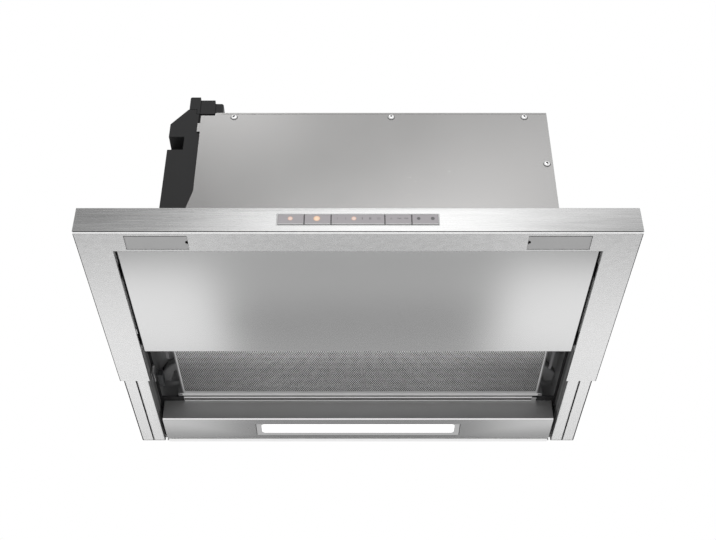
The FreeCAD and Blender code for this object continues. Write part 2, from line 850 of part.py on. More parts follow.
def power_board():
    """Circuit board inside the case with its relays, transformer and terminal block."""
    front_gap = 40.0
    gauge = 1.6
    low_gap = 12.0
    high_gap = 6.0
    rib_clear = 4.0
    board_y = housing_front + case_setback + front_gap
    low_z = case_bottom + low_gap
    high_z = recess_low - high_gap
    left = case_left + case_wall + rib_clear
    right = case_inner - case_wall - 2 * slip
    board = block((left, right), (board_y, board_y + gauge), (low_z, high_z))
    height = high_z - low_z
    width = right - left
    depth_share = 0.4
    part_shares = ((0.08, 0.55, 0.06, 0.34, 1.0), (0.62, 0.92, 0.08, 0.22, 0.7),
                   (0.62, 0.92, 0.28, 0.42, 0.7), (0.10, 0.30, 0.42, 0.50, 0.5),
                   (0.40, 0.60, 0.46, 0.60, 0.9), (0.10, 0.90, 0.78, 0.90, 0.7))
    parts = [board]
    for x_low, x_high, z_low, z_high, tall in part_shares:
        parts.append(block((left + width * x_low, left + width * x_high),
                           (board_y - front_gap * depth_share * tall, board_y),
                           (low_z + height * z_low, low_z + height * z_high)))
    return joined(parts)


def outlet_collar():
    """Spigot for the duct: square flange, tube, a seat for the flaps and bosses slotted for their pins."""
    base = housing_top
    top = base + collar_height
    seat_width = 4.0
    seat_top = flap_level - flap_thickness / 2 - slip
    boss_half_depth = flap_axis_offset + flap_barrel + hinge_wall
    boss_top = flap_level + flap_barrel + hinge_wall
    flange_half = collar_radius + collar_flange
    flange = block((-flange_half, flange_half), (collar_y - flange_half, collar_y + flange_half),
                   (base, base + collar_base))
    flange = flange.makeChamfer(collar_flange * 2, edges_along(flange, "Z"))
    outside = joined([flange, rod(collar_radius, "Z", base, top, 0, collar_y)])
    body = outside.cut([rod(collar_bore - seat_width, "Z", base - overrun, top, 0, collar_y),
                        rod(collar_bore, "Z", seat_top, top + overrun, 0, collar_y)])
    bosses = []
    for side in (-1, 1):
        near = side * (collar_bore - hinge_boss)
        far = side * (collar_bore + collar_wall / 2)
        bosses.append(block((min(near, far), max(near, far)),
                            (collar_y - boss_half_depth, collar_y + boss_half_depth), (base, boss_top)))
    pin_space = flap_pin + running_gap
    slots = []
    for side in (-1, 1):
        y = collar_y + side * flap_axis_offset
        slots.append(block((-collar_bore, collar_bore), (y - pin_space, y + pin_space),
                           (flap_level - pin_space, boss_top + overrun)))
    return joined([body] + bosses).cut(slots)


def flap(side):
    """Half-round flap with a hinge barrel along its straight edge and a pin at each end."""
    rib_gauge = 1.2
    rib_height = 3.0
    rib_share = 0.8
    reach = collar_bore - flap_gap
    barrel_half = collar_bore - hinge_boss - 2 * slip
    boss_corner = math.hypot(flap_barrel + hinge_wall, flap_barrel + hinge_wall)
    axis_y = collar_y + side * flap_axis_offset
    far = axis_y + side * collar_radius
    level = (flap_level - flap_thickness / 2, flap_level + flap_thickness / 2)
    disc = rod(reach, "Z", level[0], level[1], 0, collar_y)
    keep = block((-collar_radius, collar_radius), (min(axis_y, far), max(axis_y, far)), level)
    past = axis_y + side * (boss_corner + 2 * slip)
    notches = []
    for end in (-1, 1):
        near_x = end * barrel_half
        far_x = end * collar_radius
        notches.append(block((min(near_x, far_x), max(near_x, far_x)),
                             (min(axis_y - side * overrun, past), max(axis_y - side * overrun, past)),
                             (level[0] - overrun, level[1] + overrun)))
    leaf = disc.common(keep).cut(notches)
    barrel = rod(flap_barrel, "X", -barrel_half, barrel_half, axis_y, flap_level)
    pin_half = barrel_half + flap_pin_length
    pins = rod(flap_pin, "X", -pin_half, pin_half, axis_y, flap_level)
    rib_far = axis_y + side * reach * rib_share
    rib = block((-rib_gauge / 2, rib_gauge / 2), (min(axis_y, rib_far), max(axis_y, rib_far)),
                (flap_level, flap_level + rib_height))
    return joined([leaf, barrel, pins, rib])


def scroll_radius(angle):
    """Radius of the volute wall, growing steadily from the cut-off to the outlet."""
    return scroll_start_radius + scroll_growth * (scroll_start_angle - angle) / 360


def scroll_point(angle, offset):
    """Point on the volute wall at an angle, moved outwards by an offset."""
    reach = scroll_radius(angle) + offset
    turn = math.radians(angle)
    return Vector(0, fan_y + reach * math.cos(turn), fan_z + reach * math.sin(turn))


def scroll_profile(offset, top):
    """Closed volute outline: a spiral of short arcs, then two straight walls up to the outlet."""
    arc_count = 5
    cut_off_y = scroll_start_radius * math.cos(math.radians(scroll_start_angle)) + offset
    start = math.degrees(math.acos(cut_off_y / (scroll_start_radius + offset)))
    step = (scroll_end_angle - start) / arc_count
    edges = []
    for index in range(arc_count):
        first = start + step * index
        edges.append(Part.Arc(scroll_point(first, offset), scroll_point(first + step / 2, offset),
                              scroll_point(first + step, offset)).toShape())
    rear = scroll_point(start, offset)
    front = scroll_point(scroll_end_angle, offset)
    front_top = Vector(0, front.y, top)
    rear_top = Vector(0, rear.y, top)
    edges.extend([Part.makeLine(front, front_top), Part.makeLine(front_top, rear_top),
                  Part.makeLine(rear_top, rear)])
    return Part.Wire(edges)


def profile_slab(wire, low, high):
    """Closed outline in the Y-Z plane swept along X from low to high."""
    face = Part.Face(wire)
    face.translate(Vector(low, 0, 0))
    return face.extrude(Vector(high - low, 0, 0))


def bell_mouth():
    """Flared throat moulded into the side cheek, leading the air into the wheel."""
    lead = 4.0
    flare = 6.0
    throat = inlet_radius - scroll_wall / 2
    points = [Vector(fan_half + lead, throat, 0), Vector(scroll_outside + flare / 2, throat + flare, 0),
              Vector(scroll_half, inlet_radius + flare, 0)]
    face = Part.Face(Part.makePolygon(points + points[:1]))
    ring = face.revolve(Vector(0, 0, 0), Vector(1, 0, 0), 360)
    ring.translate(Vector(0, fan_y, fan_z))
    return ring


def scroll_half_shell():
    """One half of the volute: spiral wall, side cheek with its bell mouth, and the seam flange."""
    top = roof_inside
    outer_x = scroll_outside
    outer = profile_slab(scroll_profile(scroll_wall, top), 0, outer_x)
    inner = profile_slab(scroll_profile(0, top + overrun), -overrun, scroll_half)
    flange = profile_slab(scroll_profile(scroll_flange, top), 0, scroll_wall)
    roof_flange = block((0, outer_x + scroll_flange),
                        (scroll_point(scroll_end_angle, scroll_flange).y,
                         scroll_point(scroll_start_angle, 0).y + scroll_flange),
                        (top - scroll_wall, top))
    inlet = rod(inlet_radius + scroll_wall, "X", scroll_half - overrun, outer_x + overrun, fan_y, fan_z)
    body = joined([outer, flange, roof_flange]).cut([inner, inlet])
    return joined([body, bell_mouth()])


def fan_blade():
    """One forward-curved blade: a bow of even thickness from inner to outer radius, swept along X."""
    outer_angle = 9.5
    bow_angle = 3.0
    edge_inset = 0.6
    low = fan_inner
    high = fan_outer - edge_inset

    def point(radius, angle):
        turn = math.radians(angle)
        return Vector(-fan_half, radius * math.cos(turn), radius * math.sin(turn))

    ends = (point(low, 0), point((low + high) / 2, bow_angle), point(high, outer_angle))
    bow = Part.Arc(*ends).toShape().Curve
    centre = bow.Center
    near = 1 - fan_blade_gauge / 2 / bow.Radius
    far = 1 + fan_blade_gauge / 2 / bow.Radius
    inner = [centre + (end - centre) * near for end in ends]
    outer = [centre + (end - centre) * far for end in ends]
    edges = [Part.Arc(*inner).toShape(), Part.makeLine(inner[2], outer[2]),
             Part.Arc(*outer).toShape(), Part.makeLine(outer[0], inner[0])]
    face = Part.Face(Part.Wire(edges))
    return face.extrude(Vector(2 * fan_half, 0, 0))


def impeller():
    """Double-inlet fan wheel: blades on a middle disc, an end ring each side, and a hub."""
    disc_gauge = 2.0
    disc_lap = 1.5
    ring_depth = 3.0
    ring_width = 3.0
    hub_radius = 11.0
    hub_low = -5.0
    hub_high = 17.0
    first = fan_blade()
    wheel = []
    for step in range(blade_count):
        blade = first.copy()
        blade.rotate(Vector(0, 0, 0), Vector(1, 0, 0), 360 * step / blade_count)
        wheel.append(blade)
    disc = rod(fan_inner + disc_lap, "X", -disc_gauge / 2, disc_gauge / 2, 0, 0)
    hub = rod(hub_radius, "X", hub_low, hub_high, 0, 0)
    rings = [tube(fan_outer, fan_outer - ring_width, "X", low, low + ring_depth, 0, 0)
             for low in (-fan_half - ring_depth, fan_half)]
    body = joined([disc, hub] + rings + wheel)
    body = body.cut(rod(shaft_radius, "X", hub_low - overrun, hub_high + overrun, 0, 0))
    body.translate(Vector(0, fan_y, fan_z))
    return body


def motor_shaft():
    """Steel shaft that carries the fan wheel through the motor."""
    stub = 6.0
    hub_stub = 13.0
    return rod(shaft_radius, "X", motor_low - stub, hub_stub, fan_y, fan_z)


def motor():
    """Capacitor motor inside the left half of the wheel: a laminated band between two bells."""
    band_inset = 14.0
    body = joined([rod(motor_bell, "X", motor_low, motor_high, 0, 0),
                   rod(motor_band, "X", motor_low + band_inset, motor_high - band_inset, 0, 0)])
    body = body.cut(rod(shaft_radius + running_gap, "X", motor_low - overrun, motor_high + overrun, 0, 0))
    body.translate(Vector(0, fan_y, fan_z))
    return body


def motor_bracket():
    """Three-armed spider: a ring round the motor's end and feet on the volute's cheek."""
    ring_width = 10.0
    ring_outer = motor_bell - sheet
    ring_inner = ring_outer - ring_width
    arm_half = 6.0
    gauge = 2.0
    foot_reach = pad_reach + arm_half
    parts = [tube(ring_outer, ring_inner, "X", motor_low - gauge, motor_low, 0, 0)]
    for angle in arm_angles:
        arm = block((motor_low - gauge, motor_low), (ring_inner + gauge, foot_reach), (-arm_half, arm_half))
        foot = block((motor_low - tiny, -scroll_outside - pad_height),
                     (foot_reach - 2 * arm_half, foot_reach), (-arm_half, arm_half))
        for piece in (arm, foot):
            piece.rotate(Vector(0, 0, 0), Vector(1, 0, 0), angle)
            parts.append(piece)
    body = joined(parts)
    body.translate(Vector(0, fan_y, fan_z))
    return body


def motor_pads():
    """Rubber pads under the feet of the motor bracket."""
    pad_half = 5.0
    pads = []
    for angle in arm_angles:
        pad = block((-scroll_outside - pad_height, -scroll_outside),
                    (pad_reach - pad_half, pad_reach + pad_half), (-pad_half, pad_half))
        pad.rotate(Vector(0, 0, 0), Vector(1, 0, 0), angle)
        pad.translate(Vector(0, fan_y, fan_z))
        pads.append(pad)
    return pads


def capacitor():
    """Round run capacitor in a clip on the back wall."""
    radius = 15.0
    length = 62.0
    side_inset = 104.0
    top_drop = 141.5
    clip_height = 14.0
    clip_half = 12.0
    clip_gauge = 1.5
    x = housing_half - side_inset
    low = housing_top - top_drop
    y = back - sheet - radius - clip_gauge
    clip_low = low + length / 3
    body = rod(radius, "Z", low, low + length, x, y)
    clip = block((x - clip_half, x + clip_half), (y, back - sheet),
                 (clip_low, clip_low + clip_height))
    return joined([body, clip])


def air_guide():
    """Black moulded tray over the intake: rounded trough all round, throat rim and hinge bosses."""
    x = opening_half + guide_margin
    front = opening_front - guide_front_margin
    rear = opening_rear + guide_margin
    outer = block((-x, x), (front, rear), (floor_top, guide_top))
    outer = outer.makeChamfer(guide_radius / 2, edges_along(outer, "Z"))
    upper = [edge for edge in outer.Edges if edge.CenterOfMass.z > guide_top - tiny]
    outer = outer.makeChamfer(guide_radius / 3, upper)
    hollow = block((-x + guide_wall, x - guide_wall), (front + guide_wall, rear - guide_wall),
                   (floor_top - overrun, guide_top - guide_wall))
    hollow = hollow.makeFillet(guide_radius - guide_wall, edges_along(hollow, "Z"))
    ceiling = [edge for edge in hollow.Edges if edge.CenterOfMass.z > guide_top - guide_wall - tiny]
    hollow = hollow.makeChamfer(guide_radius / 2 - guide_wall / 2, ceiling)
    body = outer.cut(hollow)
    rim_x = throat_half + guide_wall
    rim = block((-rim_x, rim_x), (throat_front - guide_wall, throat_rear + guide_wall),
                (filter_top + slip, guide_top))
    throat = block((-throat_half, throat_half), (throat_front, throat_rear),
                   (filter_bottom, guide_top + overrun))
    bosses = []
    for low, high in boss_limits():
        bosses.append(block((low, high), (pin_y - boss_half, pin_y + boss_half),
                            (pin_level - boss_half, guide_top - guide_wall / 2)))
    body = joined([body, rim] + bosses).cut(throat)
    bore = rod(pin_radius + running_gap, "X", filter_left - 2 * boss_length, filter_right + 2 * boss_length,
               pin_y, pin_level)
    return body.cut(bore)


def boss_limits():
    """Low and high X of the two bosses beside the filter."""
    left_high = filter_left - boss_gap
    right_low = filter_right + boss_gap
    return ((left_high - boss_length, left_high), (right_low, right_low + boss_length))


def filter_frame():
    """Folded filter rim: a channel all round, a latch pocket in front and hinge pins behind."""
    x = (filter_left, filter_right)
    y = (filter_front, filter_rear)
    inside_x, inside_y, inside_z = filter_inside()
    rim = block(x, y, (filter_bottom, filter_top))
    window = block((x[0] + filter_side_rim, x[1] - filter_side_rim),
                   (y[0] + filter_end_rim, y[1] - filter_end_rim),
                   (filter_bottom - overrun, filter_top + overrun))
    groove = block(inside_x, inside_y, inside_z)
    latch_pocket = block((-latch_half - slip, latch_half + slip), (y[0] - overrun, latch_pocket_rear),
                         (filter_bottom - overrun, latch_top + slip))
    rim = rim.cut([window, groove, latch_pocket])
    pins = [rod(pin_radius, "X", x[0] - pin_length, x[0] + tiny, pin_y, pin_level),
            rod(pin_radius, "X", x[1] - tiny, x[1] + pin_length, pin_y, pin_level)]
    return joined([rim] + pins)


def filter_inside():
    """Limits of the space inside the filter rim."""
    return ((filter_left + filter_lip, filter_right - filter_lip),
            (latch_pocket_rear + slip, filter_rear - filter_lip),
            (filter_bottom + filter_lip, filter_top - filter_lip))


def filter_screen(upper):
    """Flat mesh panel below or above the folded core."""
    x, y, z = filter_inside()
    low = z[1] - mesh_thickness if upper else z[0]
    return block(x, y, (low, low + mesh_thickness))


def filter_core():
    """Folded mesh that catches the grease: a zigzag sheet across the filter."""
    x, y, z = filter_inside()
    thick = 2 * fold_gauge
    low = z[0] + mesh_thickness
    high = z[1] - mesh_thickness - thick
    fold_count = 2 * int((y[1] - y[0]) / fold_pitch)
    step = (y[1] - y[0]) / fold_count
    under = []
    over = []
    for index in range(fold_count + 1):
        level = low if index % 2 == 0 else high
        under.append((y[0] + step * index, level))
        over.append((y[0] + step * index, level + thick))
    return slab(under + over[::-1], "X", x[0], x[1])


def filter_latch():
    """Sliding latch: a nose over the floor ring and a tab for the fingers."""
    tab_depth = 2.5
    tab_drop = 3.0
    nose_low = floor_top + slip
    rear = latch_pocket_rear - latch_travel - slip
    nose = block((-latch_half, latch_half), (latch_nose_front, rear), (nose_low, latch_top))
    tab = block((-latch_half * 3 / 4, latch_half * 3 / 4), (rear - tab_depth, rear),
                (filter_bottom - tab_drop, latch_top))
    tip = [edge for edge in edges_along(nose, "X")
           if edge.CenterOfMass.y < latch_nose_front + tiny and edge.CenterOfMass.z > latch_top - tiny]
    nose = nose.makeChamfer((latch_top - nose_low) / 2, tip)
    return joined([nose, tab])


def panel_outline(inset, top):
    """Section of the folded light panel across X, drawn in by the sheet thickness, up to a level."""
    lean = panel_lean * top / floor_level
    return [(panel_front + inset, inset), (panel_rear - inset, inset),
            (panel_rear - inset, top), (panel_front + lean + inset, top)]


def light_panel():
    """Folded steel box behind the intake with a turned lip, end walls and a cut-out for the light."""
    top = floor_level
    body = slab(panel_outline(0, top), "X", -panel_half, panel_half)
    bends = [edge for edge in edges_along(body, "X") if edge.CenterOfMass.z < tiny]
    body = body.makeFillet(panel_bend, bends)
    hollow = slab(panel_outline(sheet, top + overrun), "X", -panel_half + sheet, panel_half - sheet)
    bead_radius = 0.6
    lip_rear = panel_front + panel_lean + sheet
    lip_front = lip_rear - panel_lip
    lip = block((filter_left, filter_right), (lip_front, lip_rear), (top - sheet, top))
    bead = rod(bead_radius, "X", filter_left, filter_right, lip_front + bead_radius, top - sheet)
    flange = block((-panel_half, panel_half), (panel_rear - panel_lip, panel_rear), (top - sheet, top))
    hole = block((-light_half - light_gap, light_half + light_gap),
                 (light_front - light_gap, light_rear + light_gap), (-overrun, sheet + overrun))
    return joined([body.cut(hollow), lip, bead, flange]).cut(hole)


def light_bezel():
    """Frame round the light: a lip in the panel, a flange above it and walls that carry the board."""
    flange = 3.0
    seat = sheet + bezel_gauge
    lip = block((-light_half, light_half), (light_front, light_rear), (light_gap / 2, sheet))
    rim = block((-light_half - flange, light_half + flange), (light_front - flange, light_rear + flange),
                (sheet, seat))
    inner_x = lens_half + bezel_wall + slip
    inner_y = (lens_front - bezel_wall - slip, lens_rear + bezel_wall + slip)
    walls = block((-inner_x - bezel_wall, inner_x + bezel_wall),
                  (inner_y[0] - bezel_wall / 2, inner_y[1] + bezel_wall), (seat, board_level))
    walls = walls.cut(block((-inner_x, inner_x), inner_y, (seat - tiny, board_level + overrun)))
    window = block((-lens_half - light_gap, lens_half + light_gap),
                   (lens_front - light_gap, lens_rear + light_gap), (-overrun, seat + overrun))
    window = rounded(window, lens_radius + light_gap, "Z")
    return joined([lip, rim, walls]).cut(window)


def light_lens():
    """Opal diffuser with rounded ends and a flange that lies on the bezel."""
    seat = sheet + bezel_gauge
    flange_gauge = 1.0
    lens = rounded(block((-lens_half, lens_half), (lens_front, lens_rear), (light_gap, seat + tiny)),
                   lens_radius, "Z")
    flange = block((-lens_half - bezel_wall, lens_half + bezel_wall),
                   (lens_front - bezel_wall, lens_rear + bezel_wall), (seat, seat + flange_gauge))
    return joined([lens, flange])


def led_board():
    """Strip of light-emitting diodes above the diffuser."""
    gauge = 1.2
    chip_half = 2.0
    chip_height = 0.8
    chip_count = 12
    reach = bezel_wall * 3 / 2 + slip
    board = block((-lens_half - reach, lens_half + reach), (lens_front - reach, lens_rear + reach),
                  (board_level, board_level + gauge))
    middle = (lens_front + lens_rear) / 2
    chips = []
    for step in range(chip_count):
        place = -lens_half + 2 * lens_half * (step + 1 / 2) / chip_count
        chips.append(block((place - chip_half, place + chip_half), (middle - chip_half, middle + chip_half),
                           (board_level - chip_height, board_level + tiny)))
    return joined([board] + chips)


def mounting_bracket():
    """Stepped bracket from the housing's side to the cabinet's side, with two screw holes."""
    y = (bracket_front, bracket_rear)
    outline = [(housing_half, bracket_step), (housing_half, bracket_top),
               (housing_half + bracket_thickness, bracket_top),
               (housing_half + bracket_thickness, bracket_step + bracket_thickness),
               (cabinet_half, bracket_step + bracket_thickness), (cabinet_half, bracket_foot),
               (cabinet_half - bracket_thickness, bracket_foot),
               (cabinet_half - bracket_thickness, bracket_step)]
    body = slab(outline, "Y", y[0], y[1])
    middle = (y[0] + y[1]) / 2
    holes = [rod(bracket_hole, "X", cabinet_half - bracket_thickness - overrun, cabinet_half + overrun,
                 middle + side * bracket_hole_pitch / 2, bracket_foot + bracket_hole_rise)
             for side in (-1, 1)]
    return body.cut(holes)


def reed_switch():
    """Sealed switch on the left side of the air guide that senses the closed frame."""
    width = 7.0
    height = 9.0
    corner = 1.0
    y = (reed_middle - reed_length / 2, reed_middle + reed_length / 2)
    x = -opening_half
    level = floor_top + slip
    return rounded(block((x, x + width), y, (level, level + height)), corner, "Y")


def frame_magnet():
    """Magnet on the left lip of the frame that comes below the reed switch when the frame is in."""
    width = 1.4
    y = (magnet_middle - magnet_length / 2, magnet_middle + magnet_length / 2)
    x = -bar_inside
    return block((x, x + width), y, (sheet + slip, inner_lip - slip))


def save(name, pieces):
    """Write one node, moved so that the origin is the middle of the hood's underside."""
    solids = pieces if isinstance(pieces, list) else [pieces]
    shape = solids[0] if len(solids) == 1 else Part.makeCompound(solids)
    shape = shape.copy()
    shape.translate(Vector(0, -middle_y, 0))
    shape.exportStep("parts/" + name + ".step")
    count = len(shape.Solids)
    print(name, count, round(shape.Volume), shape.isValid())


def build():
    """Make every node of the hood."""
    os.makedirs("parts", exist_ok=True)
    save("housing_shell", housing_shell())
    save("floor_ring", floor_ring())
    save("front_cover", front_cover())
    save("cover_screws", cover_screws())
    save("electronics_case", electronics_case())
    save("terminal_head", terminal_head())
    save("power_board", power_board())
    save("outlet_collar", outlet_collar())
    save("flap_front", flap(-1))
    save("flap_rear", flap(1))
    right_half = scroll_half_shell()
    save("scroll_right", right_half)
    save("scroll_left", mirrored(right_half))
    save("impeller", impeller())
    save("motor_shaft", motor_shaft())
    save("motor", motor())
    save("motor_bracket", motor_bracket())
    save("motor_pads", motor_pads())
    save("capacitor", capacitor())
    save("air_guide", air_guide())
    save("reed_switch", reed_switch())
    rail = side_rail()
    save("rail_right", rail)
    save("rail_left", mirrored(rail))
    runner = middle_runner()
    save("middle_runner_right", runner)
    save("middle_runner_left", mirrored(runner))
    glides = middle_glides()
    save("middle_glides_right", glides)
    save("middle_glides_left", [mirrored(glide) for glide in glides])
    blade = blade_runner()
    save("blade_runner_right", blade)
    save("blade_runner_left", mirrored(blade))
    save("blade_glides", blade_glides())
    save("light_panel", light_panel())
    save("light_bezel", light_bezel())
    save("light_lens", light_lens())
    save("led_board", led_board())
    bracket = mounting_bracket()
    save("bracket_right", bracket)
    save("bracket_left", mirrored(bracket))
    save("pullout_frame", pullout_frame())
    save("fascia", fascia())
    save("fascia_nuts", fascia_nuts())
    save("bar_lid", bar_lid())
    save("control_strip", control_strip())
    save("control_board", control_board())
    for index in range(len(key_shares) - 1):
        save("key_" + str(index + 1), control_key(index))
    cover = screw_cover()
    save("screw_cover_right", cover)
    save("screw_cover_left", mirrored(cover))
    save("screen_plate", screen_plate())
    save("plate_fixings", plate_fixings())
    save("frame_magnet", frame_magnet())
    save("filter_frame", filter_frame())
    save("filter_screen_lower", filter_screen(False))
    save("filter_screen_upper", filter_screen(True))
    save("filter_core", filter_core())
    save("filter_latch", filter_latch())


build()
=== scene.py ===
# %% [markdown]
# # A pull-out range hood, seen from below
#
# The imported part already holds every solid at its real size. This lesson dresses it: it gives each
# sheet of steel its grain, opens the grease filter into diamonds, rounds the moulded tray, adds the
# screws, rivets and marks, and then lights the hood as in a small studio.

import math

import bmesh
import bpy
import numpy as np
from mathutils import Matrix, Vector


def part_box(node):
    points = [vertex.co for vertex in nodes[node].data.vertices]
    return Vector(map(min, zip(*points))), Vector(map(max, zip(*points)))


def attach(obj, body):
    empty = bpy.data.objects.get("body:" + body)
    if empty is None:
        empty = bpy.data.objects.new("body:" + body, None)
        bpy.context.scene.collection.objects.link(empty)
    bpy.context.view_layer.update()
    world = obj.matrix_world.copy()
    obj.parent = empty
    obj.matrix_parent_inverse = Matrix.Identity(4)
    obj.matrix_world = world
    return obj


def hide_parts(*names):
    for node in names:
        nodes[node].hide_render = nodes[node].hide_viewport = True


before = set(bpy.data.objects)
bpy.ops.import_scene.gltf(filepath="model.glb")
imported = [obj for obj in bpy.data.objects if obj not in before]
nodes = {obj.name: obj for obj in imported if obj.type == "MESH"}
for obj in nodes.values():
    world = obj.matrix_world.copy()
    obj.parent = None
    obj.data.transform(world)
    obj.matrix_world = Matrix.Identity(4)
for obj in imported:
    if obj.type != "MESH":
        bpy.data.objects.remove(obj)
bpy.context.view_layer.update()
mm = 0.001

# %% [markdown]
# ## Materials
#
# Brushed steel is a mirror that has been scratched one way. The scratches are far too fine to model,
# and a picture of them would repeat. A noise that is stretched along the grain does it better: it
# shifts the colour, the roughness and the slope of the surface by a little. Object coordinates keep
# the grain at its real size on every sheet.


# %% A material and its noise
def new_material(name):
    """Node material with a Principled shader; returns the material, its tree and the shader."""
    material = bpy.data.materials.new(name)
    material.use_nodes = True
    tree = material.node_tree
    return material, tree, tree.nodes["Principled BSDF"]


def stretched_noise(tree, scale, detail=3.0, rough=0.6):
    """Noise on Object coordinates with its own scale along each axis, in features per metre."""
    place = tree.nodes.new("ShaderNodeTexCoord")
    mapping = tree.nodes.new("ShaderNodeMapping")
    mapping.inputs["Scale"].default_value = scale
    noise = tree.nodes.new("ShaderNodeTexNoise")
    noise.inputs["Scale"].default_value = 1.0
    noise.inputs["Detail"].default_value = detail
    noise.inputs["Roughness"].default_value = rough
    tree.links.new(place.outputs["Object"], mapping.inputs["Vector"])
    tree.links.new(mapping.outputs["Vector"], noise.inputs["Vector"])
    return noise.outputs["Fac"]


# %% Values and colours in a material
def grey(level, warmth=0.0):
    """Neutral colour of one level, a little warmer on request."""
    return (level, level * (1 - warmth / 2), level * (1 - warmth))


def ramp(tree, value, low, high, first=0.3, last=0.7):
    """Colour ramp from one colour to another over a stretch of the value."""
    node = tree.nodes.new("ShaderNodeValToRGB")
    node.color_ramp.elements[0].position = first
    node.color_ramp.elements[1].position = last
    node.color_ramp.elements[0].color = (*low, 1)
    node.color_ramp.elements[1].color = (*high, 1)
    tree.links.new(value, node.inputs["Fac"])
    return node.outputs["Color"]


def mix_values(tree, first, second, share):
    """Weighted mean of two values."""
    node = tree.nodes.new("ShaderNodeMix")
    node.data_type = "FLOAT"
    node.inputs["Factor"].default_value = share
    tree.links.new(first, node.inputs["A"])
    tree.links.new(second, node.inputs["B"])
    return node.outputs["Result"]


def multiply(tree, first, second):
    """Product of two colours."""
    node = tree.nodes.new("ShaderNodeMix")
    node.data_type = "RGBA"
    node.blend_type = "MULTIPLY"
    node.inputs["Factor"].default_value = 1.0
    tree.links.new(first, node.inputs["A"])
    tree.links.new(second, node.inputs["B"])
    return node.outputs["Result"]


def to_range(tree, value, low, high, first=0.0, last=1.0):
    """Stretch a value from one range to another."""
    node = tree.nodes.new("ShaderNodeMapRange")
    node.inputs["From Min"].default_value = first
    node.inputs["From Max"].default_value = last
    node.inputs["To Min"].default_value = low
    node.inputs["To Max"].default_value = high
    tree.links.new(value, node.inputs["Value"])
    return node.outputs["Result"]


# %% Slope, height and values that corners carry
def bump(tree, shader, height, strength, distance):
    """Slope the surface by a height value."""
    node = tree.nodes.new("ShaderNodeBump")
    node.inputs["Strength"].default_value = strength
    node.inputs["Distance"].default_value = distance
    tree.links.new(height, node.inputs["Height"])
    tree.links.new(node.outputs["Normal"], shader.inputs["Normal"])


def height_share(tree, low, high):
    """Where a point lies between two heights: 0 at the low one and 1 at the high one."""
    place = tree.nodes.new("ShaderNodeTexCoord")
    split = tree.nodes.new("ShaderNodeSeparateXYZ")
    tree.links.new(place.outputs["Object"], split.inputs["Vector"])
    return to_range(tree, split.outputs["Z"], 0.0, 1.0, low, high)


def corner_value(tree, name):
    """Value that the corners of the mesh carry under a name."""
    node = tree.nodes.new("ShaderNodeAttribute")
    node.attribute_name = name
    return node.outputs["Fac"]


# %% Steel with a grain
def grained_steel(name, level, spread, grain, rough, along=24.0, across=800.0, blotch=0.35, metal=1.0):
    """Steel with scratches along one axis: fine lines, and soft blotches under them."""
    material, tree, shader = new_material(name)
    order = {"X": (0, 1, 1), "Y": (1, 0, 1), "Z": (1, 1, 0)}[grain]
    line_scale = tuple((along, across)[step] for step in order)
    blotch_scale = tuple((along * 1.6, across * 0.22)[step] for step in order)
    lines = stretched_noise(tree, line_scale, 5.0, 0.72)
    blotches = stretched_noise(tree, blotch_scale, 3.0, 0.6)
    both = mix_values(tree, lines, blotches, blotch)
    low = grey(level * (1 - spread))
    high = grey(min(1.0, level * (1 + spread)))
    tree.links.new(ramp(tree, both, low, high, 0.36, 0.64), shader.inputs["Base Color"])
    tree.links.new(to_range(tree, both, rough - 0.08, rough + 0.08), shader.inputs["Roughness"])
    shader.inputs["Metallic"].default_value = metal
    bump(tree, shader, lines, 0.2, 0.03 * mm)
    return material


# %% Satin sheet
def satin_steel(name, level, rough, spread=0.03, warmth=0.0, slope=0.03, fade=None):
    """Smooth pickled sheet: hardly any grain, a faint cloudiness.

    A fade names two heights and the tone at each; the base colour is multiplied by what lies between.
    """
    material, tree, shader = new_material(name)
    cloud = stretched_noise(tree, (9.0, 9.0, 9.0), 3.0, 0.5)
    fine = stretched_noise(tree, (150.0, 1100.0, 1100.0), 3.0, 0.6)
    both = mix_values(tree, cloud, fine, 0.4)
    colour = ramp(tree, both, grey(level * (1 - spread), warmth), grey(level * (1 + spread), warmth))
    if fade is not None:
        low_z, high_z, low_tone, high_tone = fade
        share = height_share(tree, low_z, high_z)
        colour = multiply(tree, colour, ramp(tree, share, grey(low_tone), grey(high_tone), 0.0, 1.0))
    tree.links.new(colour, shader.inputs["Base Color"])
    tree.links.new(to_range(tree, both, rough - 0.04, rough + 0.04), shader.inputs["Roughness"])
    shader.inputs["Metallic"].default_value = 1.0
    bump(tree, shader, fine, slope, 0.02 * mm)
    return material


# %% Mesh in painted shade, and the inner walls in painted shade
def used_mesh(name, level, rough):
    """Aluminium mesh: each corner carries a tone, and painted shade darkens the mesh where that tone is low.
    """
    material, tree, shader = new_material(name)
    clean = ramp(tree, corner_value(tree, "tone"), grey(0.0), grey(level), 0.0, 1.0)
    speckle = ramp(tree, stretched_noise(tree, (60.0, 60.0, 60.0)), grey(0.88), grey(1.0))
    tree.links.new(multiply(tree, clean, speckle), shader.inputs["Base Color"])
    shader.inputs["Metallic"].default_value = 0.15
    shader.inputs["Roughness"].default_value = rough
    return material


def channel_steel(name, level, rough):
    """Unbrushed inner wall in painted shade: a dark steel, with painted light and dark bands along it for the
    rolled profile's folds, so its tone changes with its height.
    """
    material, tree, shader = new_material(name)
    wall_height = 30 * mm
    bands = ramp(tree, height_share(tree, 0.0, wall_height), grey(level * 0.5), grey(level * 0.4), 0.0, 1.0)
    stripes = bands.node.color_ramp.elements
    for share, tone in ((0.10, 0.55), (0.16, 1.25), (0.34, 1.1), (0.40, 0.5), (0.46, 1.5), (0.62, 1.2),
                        (0.70, 0.45), (0.84, 0.9)):
        stripes.new(share).color = (*grey(level * tone), 1)
    wear = ramp(tree, stretched_noise(tree, (30.0, 6.0, 200.0)), grey(0.75), grey(1.0))
    tree.links.new(multiply(tree, bands, wear), shader.inputs["Base Color"])
    shader.inputs["Metallic"].default_value = 0.35
    shader.inputs["Roughness"].default_value = rough
    return material
